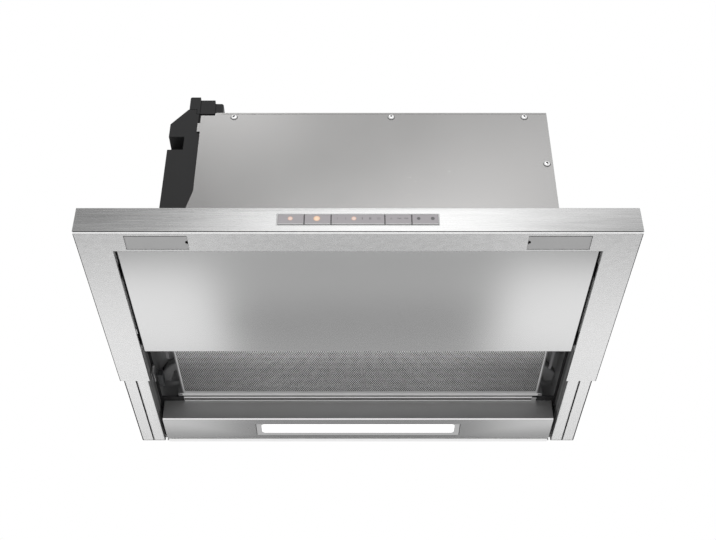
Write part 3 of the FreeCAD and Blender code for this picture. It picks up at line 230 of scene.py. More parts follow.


# %% [markdown]
# ## Plastics and light
#
# Moulded plastic has a fine pebbled skin that breaks up its sheen, so its noise is the same along all
# three axes. The light's cover and the lit dots of the keys could be lamps, but lamps this small would
# only light their own cover. A surface that glows shows the same.


# %% Moulded plastic
def moulded_plastic(name, colour, rough, pebble=1400.0, slope=0.25, tone=0.12, shine=0.5):
    """Moulded plastic: an even colour with a fine pebbled skin that breaks up its sheen."""
    material, tree, shader = new_material(name)
    skin = stretched_noise(tree, (pebble, pebble, pebble), 2.0, 0.5)
    cloud = stretched_noise(tree, (30.0, 30.0, 30.0), 2.0, 0.5)
    both = mix_values(tree, skin, cloud, 0.5)
    low = tuple(channel * (1 - tone) for channel in colour)
    high = tuple(channel * (1 + tone) for channel in colour)
    tree.links.new(ramp(tree, both, low, high), shader.inputs["Base Color"])
    tree.links.new(to_range(tree, both, rough - 0.07, rough + 0.07), shader.inputs["Roughness"])
    shader.inputs["Specular IOR Level"].default_value = shine
    bump(tree, shader, skin, slope, 0.04 * mm)
    return material


# %% Lit plastic and lit dots
def glowing(name, colour, strength, patch):
    """Lit plastic: the glow varies a little, as it does over the lamps behind."""
    material, tree, shader = new_material(name)
    cloud = stretched_noise(tree, (patch, patch, patch), 1.0, 0.4)
    low = tuple(channel * 0.97 for channel in colour)
    tree.links.new(ramp(tree, cloud, low, colour), shader.inputs["Emission Color"])
    shader.inputs["Base Color"].default_value = (*grey(0.5), 1)
    shader.inputs["Emission Strength"].default_value = strength
    shader.inputs["Roughness"].default_value = 0.5
    return material


def lit_dot_material(name, edge, core, ground):
    """Lit dot: a value that each corner carries runs from the dark rim to the bright middle."""
    material, tree, shader = new_material(name)
    rings = ramp(tree, corner_value(tree, "glow"), grey(0.0), core, 0.0, 0.85)
    rings.node.color_ramp.elements.new(0.38).color = (*edge, 1)
    tree.links.new(rings, shader.inputs["Emission Color"])
    shader.inputs["Emission Strength"].default_value = 0.75
    skin = stretched_noise(tree, (1400.0, 1400.0, 1400.0), 2.0, 0.5)
    low = tuple(channel * 0.95 for channel in ground)
    tree.links.new(ramp(tree, skin, low, ground), shader.inputs["Base Color"])
    shader.inputs["Roughness"].default_value = 0.45
    return material


# %% [markdown]
# ## The finishes of the hood
#
# The hood has five kinds of steel: the brushed bar, the coarser pressed frame, the drawn rails, the
# satin sheets and the zinc-coated small pieces. The level of each is how much light it throws back,
# and it was set by comparing renders with the photograph.

# %% Steels
bar_steel = grained_steel("bar_steel", 0.40, 0.13, "X", 0.27, along=14.0, across=1100.0, blotch=0.25)
frame_steel = grained_steel("frame_steel", 0.99, 0.10, "X", 0.27, along=70.0, across=650.0, blotch=0.5)
rail_steel = grained_steel("rail_steel", 1.0, 0.03, "Y", 0.28)
panel_steel = satin_steel("panel_steel", 0.60, 0.20, 0.02, slope=0.01)
# wall_steel is painted shade: a duller, darker steel for the light panel's front wall, darker still towards
# its foot.
wall_steel = satin_steel("wall_steel", 0.50, 0.55, 0.05, fade=(2 * mm, 28 * mm, 0.72, 1.0))
plate_steel = satin_steel("plate_steel", 0.775, 0.17, 0.012, slope=0.0)
cover_steel = satin_steel("cover_steel", 0.306, 0.26, 0.03, 0.02)
sheet_steel = satin_steel("sheet_steel", 0.52, 0.36, 0.04)
zinc_steel = satin_steel("zinc_steel", 0.62, 0.28, 0.08)
# bright_steel is the polished screw heads, and a painted highlight on the light panel's lower fold.
bright_steel = satin_steel("bright_steel", 0.88, 0.16, 0.03)
mesh_metal = used_mesh("mesh_metal", 1.0, 0.42)
rim_metal = grained_steel("rim_metal", 0.56, 0.06, "X", 0.36, metal=0.5)
# core_metal is near black: painted shade inside the filter, behind the mesh.
core_metal = grained_steel("core_metal", 0.015, 0.25, "X", 0.50)
# channel is painted shade: the dark steel on the inner walls of the frame and the rails, and on the skirts
# beside the screen plate.
channel = channel_steel("channel", 0.20, 0.5)
print("steels:", len(bpy.data.materials))

# %% Pale lips, plastics and paints
# white_lip is painted light: a near-white matt strip over the shaded gap behind the light panel.
white_lip = moulded_plastic("white_lip", grey(0.93), 0.5, pebble=500.0, slope=0.02, tone=0.02)
# galvanised is painted light: a pale matt grey on the floor's shaded rear flange and on the bright line of
# the panel's flange.
galvanised = moulded_plastic("galvanised", grey(0.80), 0.5, pebble=500.0, slope=0.05, tone=0.06)
bead_metal = moulded_plastic("bead_metal", grey(0.60), 0.5, pebble=500.0, slope=0.05, tone=0.06)
black_plastic = moulded_plastic("black_plastic", (0.0105, 0.0105, 0.011), 0.50, shine=0.25)
liner_plastic = moulded_plastic("liner_plastic", (0.140, 0.140, 0.142), 0.30, slope=0.04)
fan_plastic = moulded_plastic("fan_plastic", (0.035, 0.036, 0.038), 0.42)
key_colour = (0.335, 0.315, 0.330)
key_plastic = moulded_plastic("key_plastic", key_colour, 0.40, slope=0.08, tone=0.03)
cover_plastic = moulded_plastic("cover_plastic", grey(0.385), 0.50, slope=0.12, tone=0.03)
rib_plastic = moulded_plastic("rib_plastic", grey(0.48), 0.35, slope=0.08, tone=0.03)
# lip_plastic is the pale strip round the keys, and also a painted highlight on the keys' slanted faces and on
# the light line of the panel's flange.
lip_plastic = moulded_plastic("lip_plastic", grey(0.66), 0.35, slope=0.02, tone=0.02)
# edge_dark is a painted dark reflection along folded edges, and painted shade under the keys' window.
edge_dark = moulded_plastic("edge_dark", grey(0.02), 0.6, slope=0.02, tone=0.05, shine=0.2)
# gap_black is dark joints and seams, and painted shade in the screw recesses and on the dark line of the
# panel's flange.
gap_black = moulded_plastic("gap_black", grey(0.0015), 0.7, shine=0.05)
# mark_paint is the printed marks and the dark tabs, and also painted shade on the rim's folds and a painted
# shadow under the screw heads.
mark_paint = moulded_plastic("mark_paint", (0.12, 0.118, 0.122), 0.55, slope=0.05, tone=0.08)
faint_paint = moulded_plastic("faint_paint", (0.24, 0.23, 0.24), 0.55, slope=0.05, tone=0.05)
nylon = moulded_plastic("nylon", (0.74, 0.73, 0.69), 0.42)
rubber = moulded_plastic("rubber", grey(0.03), 0.75)
board_green = moulded_plastic("board_green", (0.035, 0.16, 0.07), 0.40)
motor_paint = moulded_plastic("motor_paint", (0.22, 0.225, 0.23), 0.42)
lamp_white = glowing("lamp_white", (0.93, 0.93, 0.925), 1.0, 25.0)
lit_pink = lit_dot_material("lit_pink", (0.62, 0.26, 0.10), (0.60, 0.44, 0.33), key_colour)
lit_amber = lit_dot_material("lit_amber", (0.70, 0.30, 0.06), (0.78, 0.52, 0.24), key_colour)
print("materials:", len(bpy.data.materials))

# %% [markdown]
# ## Dress the solids that keep their shape
#
# Many pieces are hidden or show only a little: the runners, the motor, the boards. They could be
# copied and made again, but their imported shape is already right. They only change their finish, and
# assigning to the material slots is enough for that.

# %% Finishes of the kept nodes
finishes = [
    (sheet_steel, ["bar_lid"]),
    (zinc_steel, ["fascia_nuts", "motor_shaft", "motor_bracket", "middle_runner_right", "middle_runner_left",
                  "blade_runner_right", "blade_runner_left", "frame_magnet"]),
    (rim_metal, ["filter_frame", "filter_screen_upper"]),
    (core_metal, ["filter_core"]),
    (fan_plastic, ["flap_front", "flap_rear", "scroll_right", "scroll_left", "impeller", "reed_switch"]),
    (black_plastic, ["plate_fixings"]),
    (cover_plastic, ["filter_latch"]),
    (nylon, ["middle_glides_right", "middle_glides_left", "blade_glides"]),
    (board_green, ["power_board", "control_board", "led_board"]),
    (motor_paint, ["motor", "capacitor"]),
    (rubber, ["motor_pads"]),
]
for material, names in finishes:
    for name in names:
        for slot in nodes[name].material_slots:
            slot.material = material
print("kept nodes:", sum(len(names) for material, names in finishes))

# %% [markdown]
# ## Round the edges that the eye meets
#
# A sheet that leaves a press, or a case that leaves a mould, never has a perfectly sharp edge. The thin
# line of light along a rounded edge is most of what makes steel look real. The edges could be rounded
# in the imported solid, but that would cost faces on every edge. A Bevel modifier on a copy finds the
# edges by their angle and rounds only these.


# %% Rounded edges
def edge_bevel(piece, width, segments=2):
    """Round every edge that turns by more than about 35 degrees, as a press or a mould leaves it."""
    bevel = piece.modifiers.new("rounded_edges", "BEVEL")
    bevel.width = width
    bevel.segments = segments
    bevel.limit_method = "ANGLE"
    bevel.angle_limit = math.radians(35)
    bevel.use_clamp_overlap = True
    bevel.harden_normals = True


# %% Finishes that change from face to face
def inner_faces(centre, normal):
    """Faces that look towards the middle of the hood from its left or right; they take the dark steel of
    painted shade.
    """
    return (np.abs(normal[:, 0]) > 0.7) & (centre[:, 0] * normal[:, 0] < 0)


def panel_finish(centre, normal):
    """Light panel: its front wall and the flange above take painted shade, a duller and darker steel (1); the
    fold below the wall takes a painted highlight, a brighter steel (2); the rest is satin (0).
    """
    wall_top = 25 * mm
    wall = (normal[:, 1] < -0.97) | (centre[:, 2] > wall_top)
    fold = (normal[:, 1] < -0.25) & (normal[:, 2] < -0.25)
    return wall * 1 + (fold & ~wall) * 2


def ring_finish(centre, normal):
    """Housing floor: a pale matt grey on the rear flange is painted light (1); black elsewhere is painted
    shade, where it borders the tray (0).
    """
    flange_front = 228 * mm
    flange_top = 29.6 * mm
    return (centre[:, 1] > flange_front) & (centre[:, 2] < flange_top)


# %% Faces that stand back for thin lines
def sink_floor(places):
    """Lift the lowest face by a hair, so that thin edge lines have room under it."""
    places[places[:, 2] < 0.01 * mm, 2] = 0.03 * mm
    return places


def sink_front(places):
    """Move the foremost face back by a hair, so that thin edge lines have room before it."""
    places[places[:, 1] < places[:, 1].min() + 0.01 * mm, 1] += 0.05 * mm
    return places


# %% Softened copy of a solid
def softened(node, body, width, material, segments=2, others=(), rule=None, sink=None):
    """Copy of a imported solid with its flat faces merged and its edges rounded; it replaces the node.

    Other finishes go on the faces that a rule picks: it turns centres and normals into finish numbers.
    A sink moves one outer face inwards by a hair.
    """
    work = bmesh.new()
    work.from_mesh(nodes[node].data)
    bmesh.ops.remove_doubles(work, verts=work.verts, dist=0.002 * mm)
    bmesh.ops.dissolve_limit(work, angle_limit=math.radians(0.6), verts=work.verts, edges=work.edges)
    mesh = bpy.data.meshes.new(node + "_soft")
    work.to_mesh(mesh)
    work.free()
    if sink is not None:
        places = np.empty(len(mesh.vertices) * 3, dtype=np.float32)
        mesh.vertices.foreach_get("co", places)
        mesh.vertices.foreach_set("co", sink(places.reshape(-1, 3)).ravel())
    if "custom_normal" in mesh.attributes:
        mesh.attributes.remove(mesh.attributes["custom_normal"])
    mesh.materials.clear()
    for finish in (material, *others):
        mesh.materials.append(finish)
    if rule is not None:
        centre = np.array([tuple(face.center) for face in mesh.polygons])
        normal = np.array([tuple(face.normal) for face in mesh.polygons])
        mesh.polygons.foreach_set("material_index", rule(centre, normal).astype(np.int32))
    mesh.shade_smooth()
    mesh.set_sharp_from_angle(angle=math.radians(30))
    piece = bpy.data.objects.new(node + "_soft", mesh)
    bpy.context.scene.collection.objects.link(piece)
    edge_bevel(piece, width, segments)
    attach(piece, body)
    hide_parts(node)


# %% Pull-out frame
softened("pullout_frame", "canopy", 0.45 * mm, frame_steel, 3, [channel], inner_faces,
         sink_floor)
softened("fascia", "canopy", 0.35 * mm, bar_steel, sink=sink_front)
softened("screen_plate", "canopy", 0.20 * mm, plate_steel)
softened("screw_cover_right", "canopy", 0.20 * mm, cover_plastic)
softened("screw_cover_left", "canopy", 0.20 * mm, cover_plastic)
softened("control_strip", "canopy", 0.12 * mm, lip_plastic, sink=sink_front)

# %% Housing, rails and light
softened("front_cover", "housing", 0.25 * mm, cover_steel)
softened("housing_shell", "housing", 0.20 * mm, sheet_steel)
softened("rail_right", "housing", 0.30 * mm, rail_steel, 2, [channel], inner_faces)
softened("rail_left", "housing", 0.30 * mm, rail_steel, 2, [channel], inner_faces)
softened("light_panel", "housing", 0.20 * mm, panel_steel, 2, [wall_steel, bright_steel],
         panel_finish)
softened("floor_ring", "housing", 0.15 * mm, black_plastic, 2, [galvanised], ring_finish)
softened("light_bezel", "housing", 0.20 * mm, rib_plastic)
softened("light_lens", "housing", 0.25 * mm, lamp_white)

# %% Case, collar and brackets
softened("electronics_case", "housing", 0.7 * mm, black_plastic, 3)
softened("terminal_head", "housing", 0.7 * mm, black_plastic, 3)
softened("outlet_collar", "housing", 0.4 * mm, black_plastic)
softened("bracket_right", "housing", 0.25 * mm, zinc_steel)
softened("bracket_left", "housing", 0.25 * mm, zinc_steel)

# %% [markdown]
# ## The grease filter's mesh
#
# The filter is faced with expanded metal: a sheet is slit and pulled until the slits open into
# diamonds. A drawn pattern would look flat, and crossed bars would miss the tilt of the strands. One
# diamond is a ring of four tilted strands, so one ring is worked out once and set down on a staggered
# lattice by adding an array of centres.


# %% Turn arrays into a piece
def size_of(node):
    """Lowest and highest corner of a node, as arrays."""
    low, high = (np.array(corner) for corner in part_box(node))
    return low, high


def add_piece(name, corners, faces, body, material, slot, smooth=False):
    """Mesh from an array of corners and a list of faces, placed at the origin and set on a body."""
    mesh = bpy.data.meshes.new(name)
    mesh.from_pydata(np.asarray(corners, float).tolist(), [], [list(map(int, face)) for face in faces])
    mesh.update()
    piece = bpy.data.objects.new(name, mesh)
    bpy.context.scene.collection.objects.link(piece)
    mesh.materials.append(material)
    if smooth:
        mesh.shade_smooth()
        mesh.set_sharp_from_angle(angle=math.radians(38))
    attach(piece, body)
    return piece


def many(shape, faces, centres):
    """One shape set down at many centres: all corners and faces as two arrays."""
    shape = np.asarray(shape, float)
    faces = np.asarray(faces, int)
    centres = np.asarray(centres, float)
    corners = (centres[:, None] + shape[None]).reshape(-1, 3)
    joined = (np.arange(len(centres))[:, None, None] * len(shape) + faces[None]).reshape(-1, faces.shape[1])
    return corners, joined


# %% One diamond
diamond_width = 2.746 * mm
diamond_depth = 5.93 * mm
strand_share = 0.225
strand_gauge = 0.25 * mm
strand_tilt = 0.10 * mm
knuckle_rise = 0.26 * mm
# Three loops of four corners: the outer edge, the inner edge, and the inner edge one gauge higher.
corner = np.array([[1, 0], [0, 1], [-1, 0], [0, -1]], float) * [diamond_width / 2, diamond_depth / 2]
rise = np.array([0, knuckle_rise, 0, knuckle_rise])
ring = np.zeros((12, 3))
ring[0:4, :2] = corner
ring[4:8, :2] = corner * (1 - strand_share)
ring[8:12, :2] = corner * (1 - strand_share)
ring[0:4, 2] = rise
ring[4:8, 2] = rise + np.array([0, strand_tilt, 0, -strand_tilt])
ring[8:12, 2] = ring[4:8, 2] + strand_gauge
sides = np.arange(4)
after = (sides + 1) % 4
ring_faces = np.concatenate([np.stack([sides, sides + 4, after + 4, after], axis=-1),
                             np.stack([sides + 4, sides + 8, after + 8, after + 4], axis=-1)])
print("faces of one diamond:", len(ring_faces))

# %% The lattice
screen_low, screen_high = size_of("filter_screen_lower")
screen_middle = (screen_low + screen_high) / 2
rim_inset = 1.5 * mm
columns = int((screen_high[0] - screen_low[0] - 2 * rim_inset) / diamond_width)
rows = int((screen_high[1] - screen_low[1] - 2 * rim_inset) / (diamond_depth / 2))
# Rows lie half a diamond apart, and every other row is shifted by half a diamond's width.
row, column = np.meshgrid(np.arange(rows), np.arange(columns), indexing="ij")
centre_x = screen_middle[0] + (column - (columns - 1) / 2 + 0.5 * (row % 2) - 0.25) * diamond_width
centre_y = screen_middle[1] + (row - (rows - 1) / 2) * diamond_depth / 2
centres = np.stack([centre_x.ravel(), centre_y.ravel(), np.full(row.size, screen_low[2])], axis=-1)
corners, faces = many(ring, ring_faces, centres)
filter_mesh = add_piece("filter_mesh", corners, faces, "filter", mesh_metal, "filter_metal")
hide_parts("filter_screen_lower")
print("diamonds:", len(centres), "triangles:", 2 * len(faces))


# %% Painted shade on the mesh
def smooth_step(value, first, last):
    """Smooth step from 0 to 1: with t the share of the way, cut to 0 to 1, it is 3t^2 - 2t^3."""
    t = np.clip((value - first) / (last - first), 0, 1)
    return t * t * (3 - 2 * t)


def carry(piece, name, values):
    """Give each corner of a piece its own value under a name."""
    attribute = piece.data.attributes.new(name, "FLOAT", "POINT")
    attribute.data.foreach_set("value", values)


# Painted shade: it grows towards the rear and towards both sides, and is strongest where these meet.
film = 0.38
film_front = 30 * mm
film_rear = 100 * mm
film_side = 110 * mm
film_reach = 120 * mm
rear_share = smooth_step(corners[:, 1], film_front, film_rear)
side_share = np.clip((np.abs(corners[:, 0]) - film_side) / film_reach, 0, 1)
clean = (1 - film * rear_share) * (1 - film * side_share * (0.25 + 0.75 * rear_share))
carry(filter_mesh, "tone", clean)
print("least and most painted shade:", clean.max().round(3), clean.min().round(3))

# %% [markdown]
# ## Rolled lines in the filter's rim
#
# The rim is a folded strip with a raised bead along its rear and a sharp fold beside the mesh. Both
# are only a few tenths of a millimetre high, so they could be left to the slope of the surface. As thin
# strips they also cast their own edge of shade.


# %% Boxes
def boxes(limits):
    """Boxes from rows of (x low, x high, y low, y high, z low, z high), with outward faces."""
    limits = np.asarray(limits, float)
    pick = np.array([[0, 2, 4], [1, 2, 4], [1, 3, 4], [0, 3, 4], [0, 2, 5], [1, 2, 5], [1, 3, 5], [0, 3, 5]])
    corners = limits[:, pick].reshape(-1, 3)
    sides = np.array([[0, 3, 2, 1], [4, 5, 6, 7], [0, 1, 5, 4], [1, 2, 6, 5], [2, 3, 7, 6], [3, 0, 4, 7]])
    faces = (np.arange(len(limits))[:, None, None] * 8 + sides[None]).reshape(-1, 4)
    return corners, faces


def add_boxes(name, limits, body, material, slot, width=0.0):
    """Piece made of boxes; where a width is given, its edges are rounded by that much."""
    piece = add_piece(name, *boxes(limits), body, material, slot)
    if width:
        edge_bevel(piece, width)
    print(name, "boxes:", len(limits))


# %% Bead and folds of the rim
rim_low, rim_high = size_of("filter_frame")
rim_z = (rim_low[2] - 0.12 * mm, rim_low[2] + 0.20 * mm)
bead_front = rim_high[1] - 6.25 * mm
bead_rear = rim_high[1] - 0.55 * mm
bead_inset = 1.0 * mm
rim_bead = [(rim_low[0] + bead_inset, rim_high[0] - bead_inset, bead_front, bead_rear, *rim_z)]
add_boxes("rim_bead", rim_bead, "filter", bead_metal, "filter_metal", 0.1 * mm)
fold_half = 0.7 * mm
fold_gap = 0.2 * mm
fold_y = (rim_low[1] + 0.35 * mm, bead_front - 0.10 * mm)
# The strips on the folds are painted dark: painted shade along each fold.
rim_folds = [(x - fold_half, x + fold_half, *fold_y, *rim_z)
             for x in (screen_low[0] - fold_gap, screen_high[0] + fold_gap)]
add_boxes("rim_folds", rim_folds, "filter", mark_paint, "filter_metal")

# %% [markdown]
# ## The moulded tray over the intake
#
# The tray is one rounded channel that runs round the filter. It could be cut out of a block, but its
# round corners would then meet in slivers. A chain of rounded rectangles, one above the other, gives
# its wall, the curve into its ceiling and the throat. Joining neighbouring loops with quads gives the
# skin, and joining the last loop to the first closes it.


# %% Loops and the quads between them
def grid_faces(rows, columns, wrap=False, close=False):
    """Quads between neighbours of a rows by columns grid, joined round the columns or round the rows."""
    last_column = columns if wrap else columns - 1
    last_row = rows if close else rows - 1
    row, column = np.meshgrid(np.arange(last_row), np.arange(last_column), indexing="ij")
    next_row = (row + 1) % rows
    next_column = (column + 1) % columns
    quads = [row * columns + column, row * columns + next_column,
             next_row * columns + next_column, next_row * columns + column]
    return np.stack(quads, axis=-1).reshape(-1, 4)


def rounded_loop(x_low, x_high, y_low, y_high, radius, z, steps=8):
    """Level rounded rectangle, anticlockwise from above: a quarter circle at each corner."""
    turn = np.linspace(0, math.pi / 2, steps)
    centres = [(x_high - radius, y_high - radius, 0), (x_low + radius, y_high - radius, 1),
               (x_low + radius, y_low + radius, 2), (x_high - radius, y_low + radius, 3)]
    runs = [np.stack([x + radius * np.cos(turn + quarter * math.pi / 2),
                      y + radius * np.sin(turn + quarter * math.pi / 2),
                      np.full(steps, z)], axis=-1) for x, y, quarter in centres]
    return np.concatenate(runs)


# %% Sizes of the tray
tray_low, tray_high = size_of("air_guide")
wall = 2.5 * mm
inner = [tray_low[0] + wall, tray_high[0] - wall, tray_low[1] + wall, tray_high[1] - wall]
throat = [-224.5 * mm, 224.5 * mm, 19.4 * mm, 152.3 * mm]
sill = 30.6 * mm
ceiling = tray_high[2] - wall
throat_top = 46 * mm
throat_foot = 38.4 * mm
round_wall = 9.0 * mm
round_throat = 5.0 * mm
wall_corner = 12 * mm
outer_corner = 14 * mm
ceiling_corner = 11 * mm
curl_corner = 8 * mm
throat_corner = 6 * mm
inside_corner = 4 * mm
curve_share = 0.42
ceiling_share = 0.55
curl_share = 0.27
print("tray, mm:", ((tray_high - tray_low) / mm).round(1))


# %% Loft the tray
def between(share, radius, z):
    """Loop at a share of the way from the outer wall to the throat."""
    limits = [first + (last - first) * share for first, last in zip(inner, throat)]
    return rounded_loop(*limits, radius, z)


# Along both curves the height follows the sine of the angle, and the way inwards one minus its cosine.
loops = [between(0.0, wall_corner, sill), between(0.0, wall_corner, ceiling - round_wall)]
for angle in np.radians([20, 40, 60, 80]):
    loops.append(between(curve_share * (1 - math.cos(angle)), wall_corner,
                         ceiling - round_wall * (1 - math.sin(angle))))
loops.append(between(ceiling_share, ceiling_corner, ceiling))
for angle in np.radians([70, 50, 30, 10]):
    loops.append(between(1 - curl_share * (1 - math.cos(angle)), curl_corner,
                         ceiling - round_throat * (1 - math.sin(angle))))
loops.append(between(1.0, throat_corner, throat_top))
loops.append(between(1.0, throat_corner, throat_foot))
throat_inner = [throat[0] + wall, throat[1] - wall, throat[2] + wall, throat[3] - wall]
outer = [inner[0] - wall, inner[1] + wall, inner[2] - wall, inner[3] + wall]
loops.append(rounded_loop(*throat_inner, inside_corner, throat_foot))
loops.append(rounded_loop(*throat_inner, inside_corner, tray_high[2]))
loops.append(rounded_loop(*outer, outer_corner, tray_high[2]))
loops.append(rounded_loop(*outer, outer_corner, sill))
corners = np.concatenate(loops)
faces = grid_faces(len(loops), len(loops[0]), wrap=True, close=True)
tray = add_piece("intake_tray", corners, faces, "housing", liner_plastic, "black_plastic", True)
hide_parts("air_guide")
print("tray loops:", len(loops))

# %% Bosses for the filter's hinge
boss_width = 5.9 * mm
boss_starts = (-238.0 * mm, 237.9 * mm)
boss_y = (149.9 * mm, 156.3 * mm)
boss_z = (28.4 * mm, 58.0 * mm)
boss_limits = [(x, x + boss_width, *boss_y, *boss_z) for x in boss_starts]
add_boxes("hinge_bosses", boss_limits, "housing", liner_plastic, "black_plastic", 1.0 * mm)

# %% [markdown]
# ## Screws and rivets
#
# A pan head is a turned shape: a flat rim, a soft shoulder and a crown with a round recess. A sphere
# cut flat would lack the recess. A profile of a few points spun round its axis gives it all. A rivet is
# the same idea with a simpler profile.


# %% Turned shapes
def lathe(profile, axis, count=32):
    """Turned shape: each profile point (reach, height) goes round an axis through the origin."""
    turn = np.linspace(0, 2 * math.pi, count, endpoint=False)
    reach, height = np.asarray(profile, float).T
    u = reach[:, None] * np.cos(turn)[None]
    v = reach[:, None] * np.sin(turn)[None]
    w = np.repeat(height[:, None], count, axis=1)
    order = {"X": (w, u, v), "Y": (v, w, u), "Z": (u, v, w)}[axis]
    return np.stack(order, axis=-1).reshape(-1, 3), grid_faces(len(reach), count, wrap=True)


# %% Places of the cover's screws
screw_points = np.array([vertex.co for vertex in nodes["cover_screws"].data.vertices])
cover_low, cover_high = size_of("front_cover")
cover_face = cover_low[1]
head_depth = 1.5 * mm
head_spread = 15 * mm
heads = screw_points[screw_points[:, 1] < cover_face - head_depth][:, [0, 2]]
screw_places = []
while len(heads):
    near = np.linalg.norm(heads - heads[0], axis=1) < head_spread
    x, z = (heads[near].min(axis=0) + heads[near].max(axis=0)) / 2
    screw_places.append((x, cover_face, z))
    heads = heads[~near]
print("screws:", len(screw_places))

# %% Pan heads, with painted shade in their recesses and a painted shadow under them
profile = np.array([[0.01, -1.25], [1.45, -1.25], [1.6, -2.15], [2.6, -2.05], [3.5, -1.6], [4.1, -0.8],
                    [4.2, -0.2], [4.2, 0.0], [1.9, 0.0], [1.9, 3.0], [0.01, 3.0]]) * mm
shape, turned_faces = lathe(profile, "Y")
corners, faces = many(shape, turned_faces, screw_places)
pan_heads = add_piece("pan_head_screws", corners, faces, "housing", bright_steel, "steel_small", True)
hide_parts("cover_screws")
# A near-black disc in each recess is painted shade.
recess = np.array([[0.01, -1.3], [1.5, -1.3]]) * mm
shape, turned_faces = lathe(recess, "Y", 16)
corners, faces = many(shape, turned_faces, screw_places)
add_piece("screw_recess_shade", corners, faces, "housing", gap_black, "black_plastic")
# A dark ring dropped below each head is a painted shadow under it.
washer = np.array([[1.5, -0.25], [4.9, -0.25], [5.1, 0.0], [1.5, 0.0]]) * mm
washer_drop = 0.5 * mm
shape, turned_faces = lathe(washer, "Y")
corners, faces = many(shape, turned_faces, np.array(screw_places) - [0, 0, washer_drop])
add_piece("screw_shadows", corners, faces, "housing", mark_paint, "black_plastic", True)
print("pan head, mm:", (profile.max(axis=0) / mm).round(2))

# %% Rivets on the housing's sides
dome = np.array([[2.6, 0.0], [2.5, 0.55], [1.9, 1.0], [1.0, 1.25], [0.35, 1.3], [0.3, 0.9], [0.01, 0.9]]) * mm
shell_low, shell_high = size_of("housing_shell")
rivet_z = np.array([60.0, 130.0, 200.0, 270.0]) * mm
rivet_inset = 8 * mm
front_y = shell_low[1] + rivet_inset
rear_y = shell_high[1] - rivet_inset
shape, turned_faces = lathe(dome, "X", 20)
right = [(shell_high[0], y, z) for y in (front_y, rear_y) for z in rivet_z]
corners, faces = many(shape, turned_faces[:, ::-1], right)
add_piece("rivets_right", corners, faces, "housing", zinc_steel, "steel_small", True)
left = [(shell_low[0], rear_y, z) for z in rivet_z] + [(shell_low[0], front_y, z) for z in rivet_z[:2]]
corners, faces = many(shape * [-1, 1, 1], turned_faces, left)
add_piece("rivets_left", corners, faces, "housing", zinc_steel, "steel_small", True)
print("rivets:", len(right) + len(left))

# %% Screws on the collar
collar_low, collar_high = size_of("outlet_collar")
collar_middle = (collar_low + collar_high) / 2
collar_reach = 66 * mm
collar_flange = 3.0 * mm
shape, turned_faces = lathe(dome * [1.1, 1.0], "Z", 20)
spots = [(collar_middle[0] + side * collar_reach, collar_middle[1] + way * collar_reach,
          shell_high[2] + collar_flange) for side in (-1, 1) for way in (-1, 1)]
corners, faces = many(shape, turned_faces, spots)
add_piece("collar_screws", corners, faces, "housing", zinc_steel, "steel_small", True)
print("collar screws:", len(spots))

# %% [markdown]
# ## Rolled bead along the top of the front cover
#
# The cover's upper edge is rolled over, and the roll shows as a fine line of light. A bevel would
# follow all the edges of the sheet. Half a circle of points carried from one end to the other puts the
# roll only where the real sheet has it.

# %% Rolled bead
bead_steps = 7
bead_z = cover_high[2] - 2.4 * mm
bead_reach = 0.35 * mm
bead_half = 0.5 * mm
bead_ends = (-192 * mm, shell_high[0] - 1 * mm)
# Half an oval of points: the sine gives how far it stands out, the cosine its height.
turn = np.linspace(0, math.pi, bead_steps)
section = np.column_stack([cover_face - np.sin(turn) * bead_reach, bead_z + np.cos(turn) * bead_half])
corners = np.concatenate([np.column_stack([np.full(bead_steps, x), section]) for x in bead_ends])
add_piece("cover_bead", corners, grid_faces(2, bead_steps), "housing", cover_steel, "satin_steel", True)
print("bead length, mm:", round((bead_ends[1] - bead_ends[0]) / mm, 1))

# %% [markdown]
# ## Keys, marks and lit dots
#
# The five keys are caps with a slanted lower edge, which would catch the light from below as one bright
# line; that line is a painted highlight, a lighter plastic on the slanted face. The marks are printed
# on the real keys; here they are thin shapes of paint: bars, dots, a triangle and a wave, so that they
# stay sharp from near. Each lit dot is a disc whose rings carry a value from 0 at the rim to 1 in the
# middle, and the material turns that value into a glow.

# %% Key caps
chamfer = 1.5 * mm
chamfer_run = 0.9 * chamfer
slanted = 2 + 3
for index in range(1, 6):
    name = "key_%d" % index
    low, high = size_of(name)
    outline = np.array([(low[1], high[2]), (high[1], high[2]), (high[1], low[2]),
                        (low[1] + chamfer_run, low[2]), (low[1], low[2] + chamfer)])
    corners = np.concatenate([np.column_stack([np.full(5, x), outline]) for x in (low[0], high[0])])
    faces = [(0, 1, 2, 3, 4), (9, 8, 7, 6, 5)]
    faces += [(side, side + 5, (side + 1) % 5 + 5, (side + 1) % 5) for side in range(5)]
    cap = add_piece("cap_%d" % index, corners, faces, name, key_plastic, "grey_plastic")
    # The slanted face takes the lighter lip_plastic: a painted highlight.
    cap.data.materials.append(lip_plastic)
    cap.data.polygons[slanted].material_index = 1
    edge_bevel(cap, 0.15 * mm)
    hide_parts(name)
    print(name, "width, mm:", round((high[0] - low[0]) / mm, 2))


# %% Shapes of the marks
def bars(count, pitch=1.3, half=0.35, reach=1.5):
    """Outlines of upright bars side by side, in millimetres."""
    starts = (np.arange(count) - (count - 1) / 2) * pitch
    return [[(x - half, -reach), (x + half, -reach), (x + half, reach), (x - half, reach)] for x in starts]


disc_steps = 28
disc_turn = np.linspace(0, 2 * math.pi, disc_steps, endpoint=False)
disc = np.stack([np.cos(disc_turn), np.sin(disc_turn)], axis=-1)
triangle = [[(-1.4, -1.1), (1.4, -1.1), (0.0, 1.5)]]
wave_top = [(-2.0, 0.2), (-1.0, 1.2), (0.2, 0.0), (1.2, 1.0), (2.2, 0.0)]
wave_gauge = 0.8
wave = [[first, last, (last[0], last[1] - wave_gauge), (first[0], first[1] - wave_gauge)]
        for first, last in zip(wave_top, wave_top[1:])]
print("strokes of the wave:", len(wave))

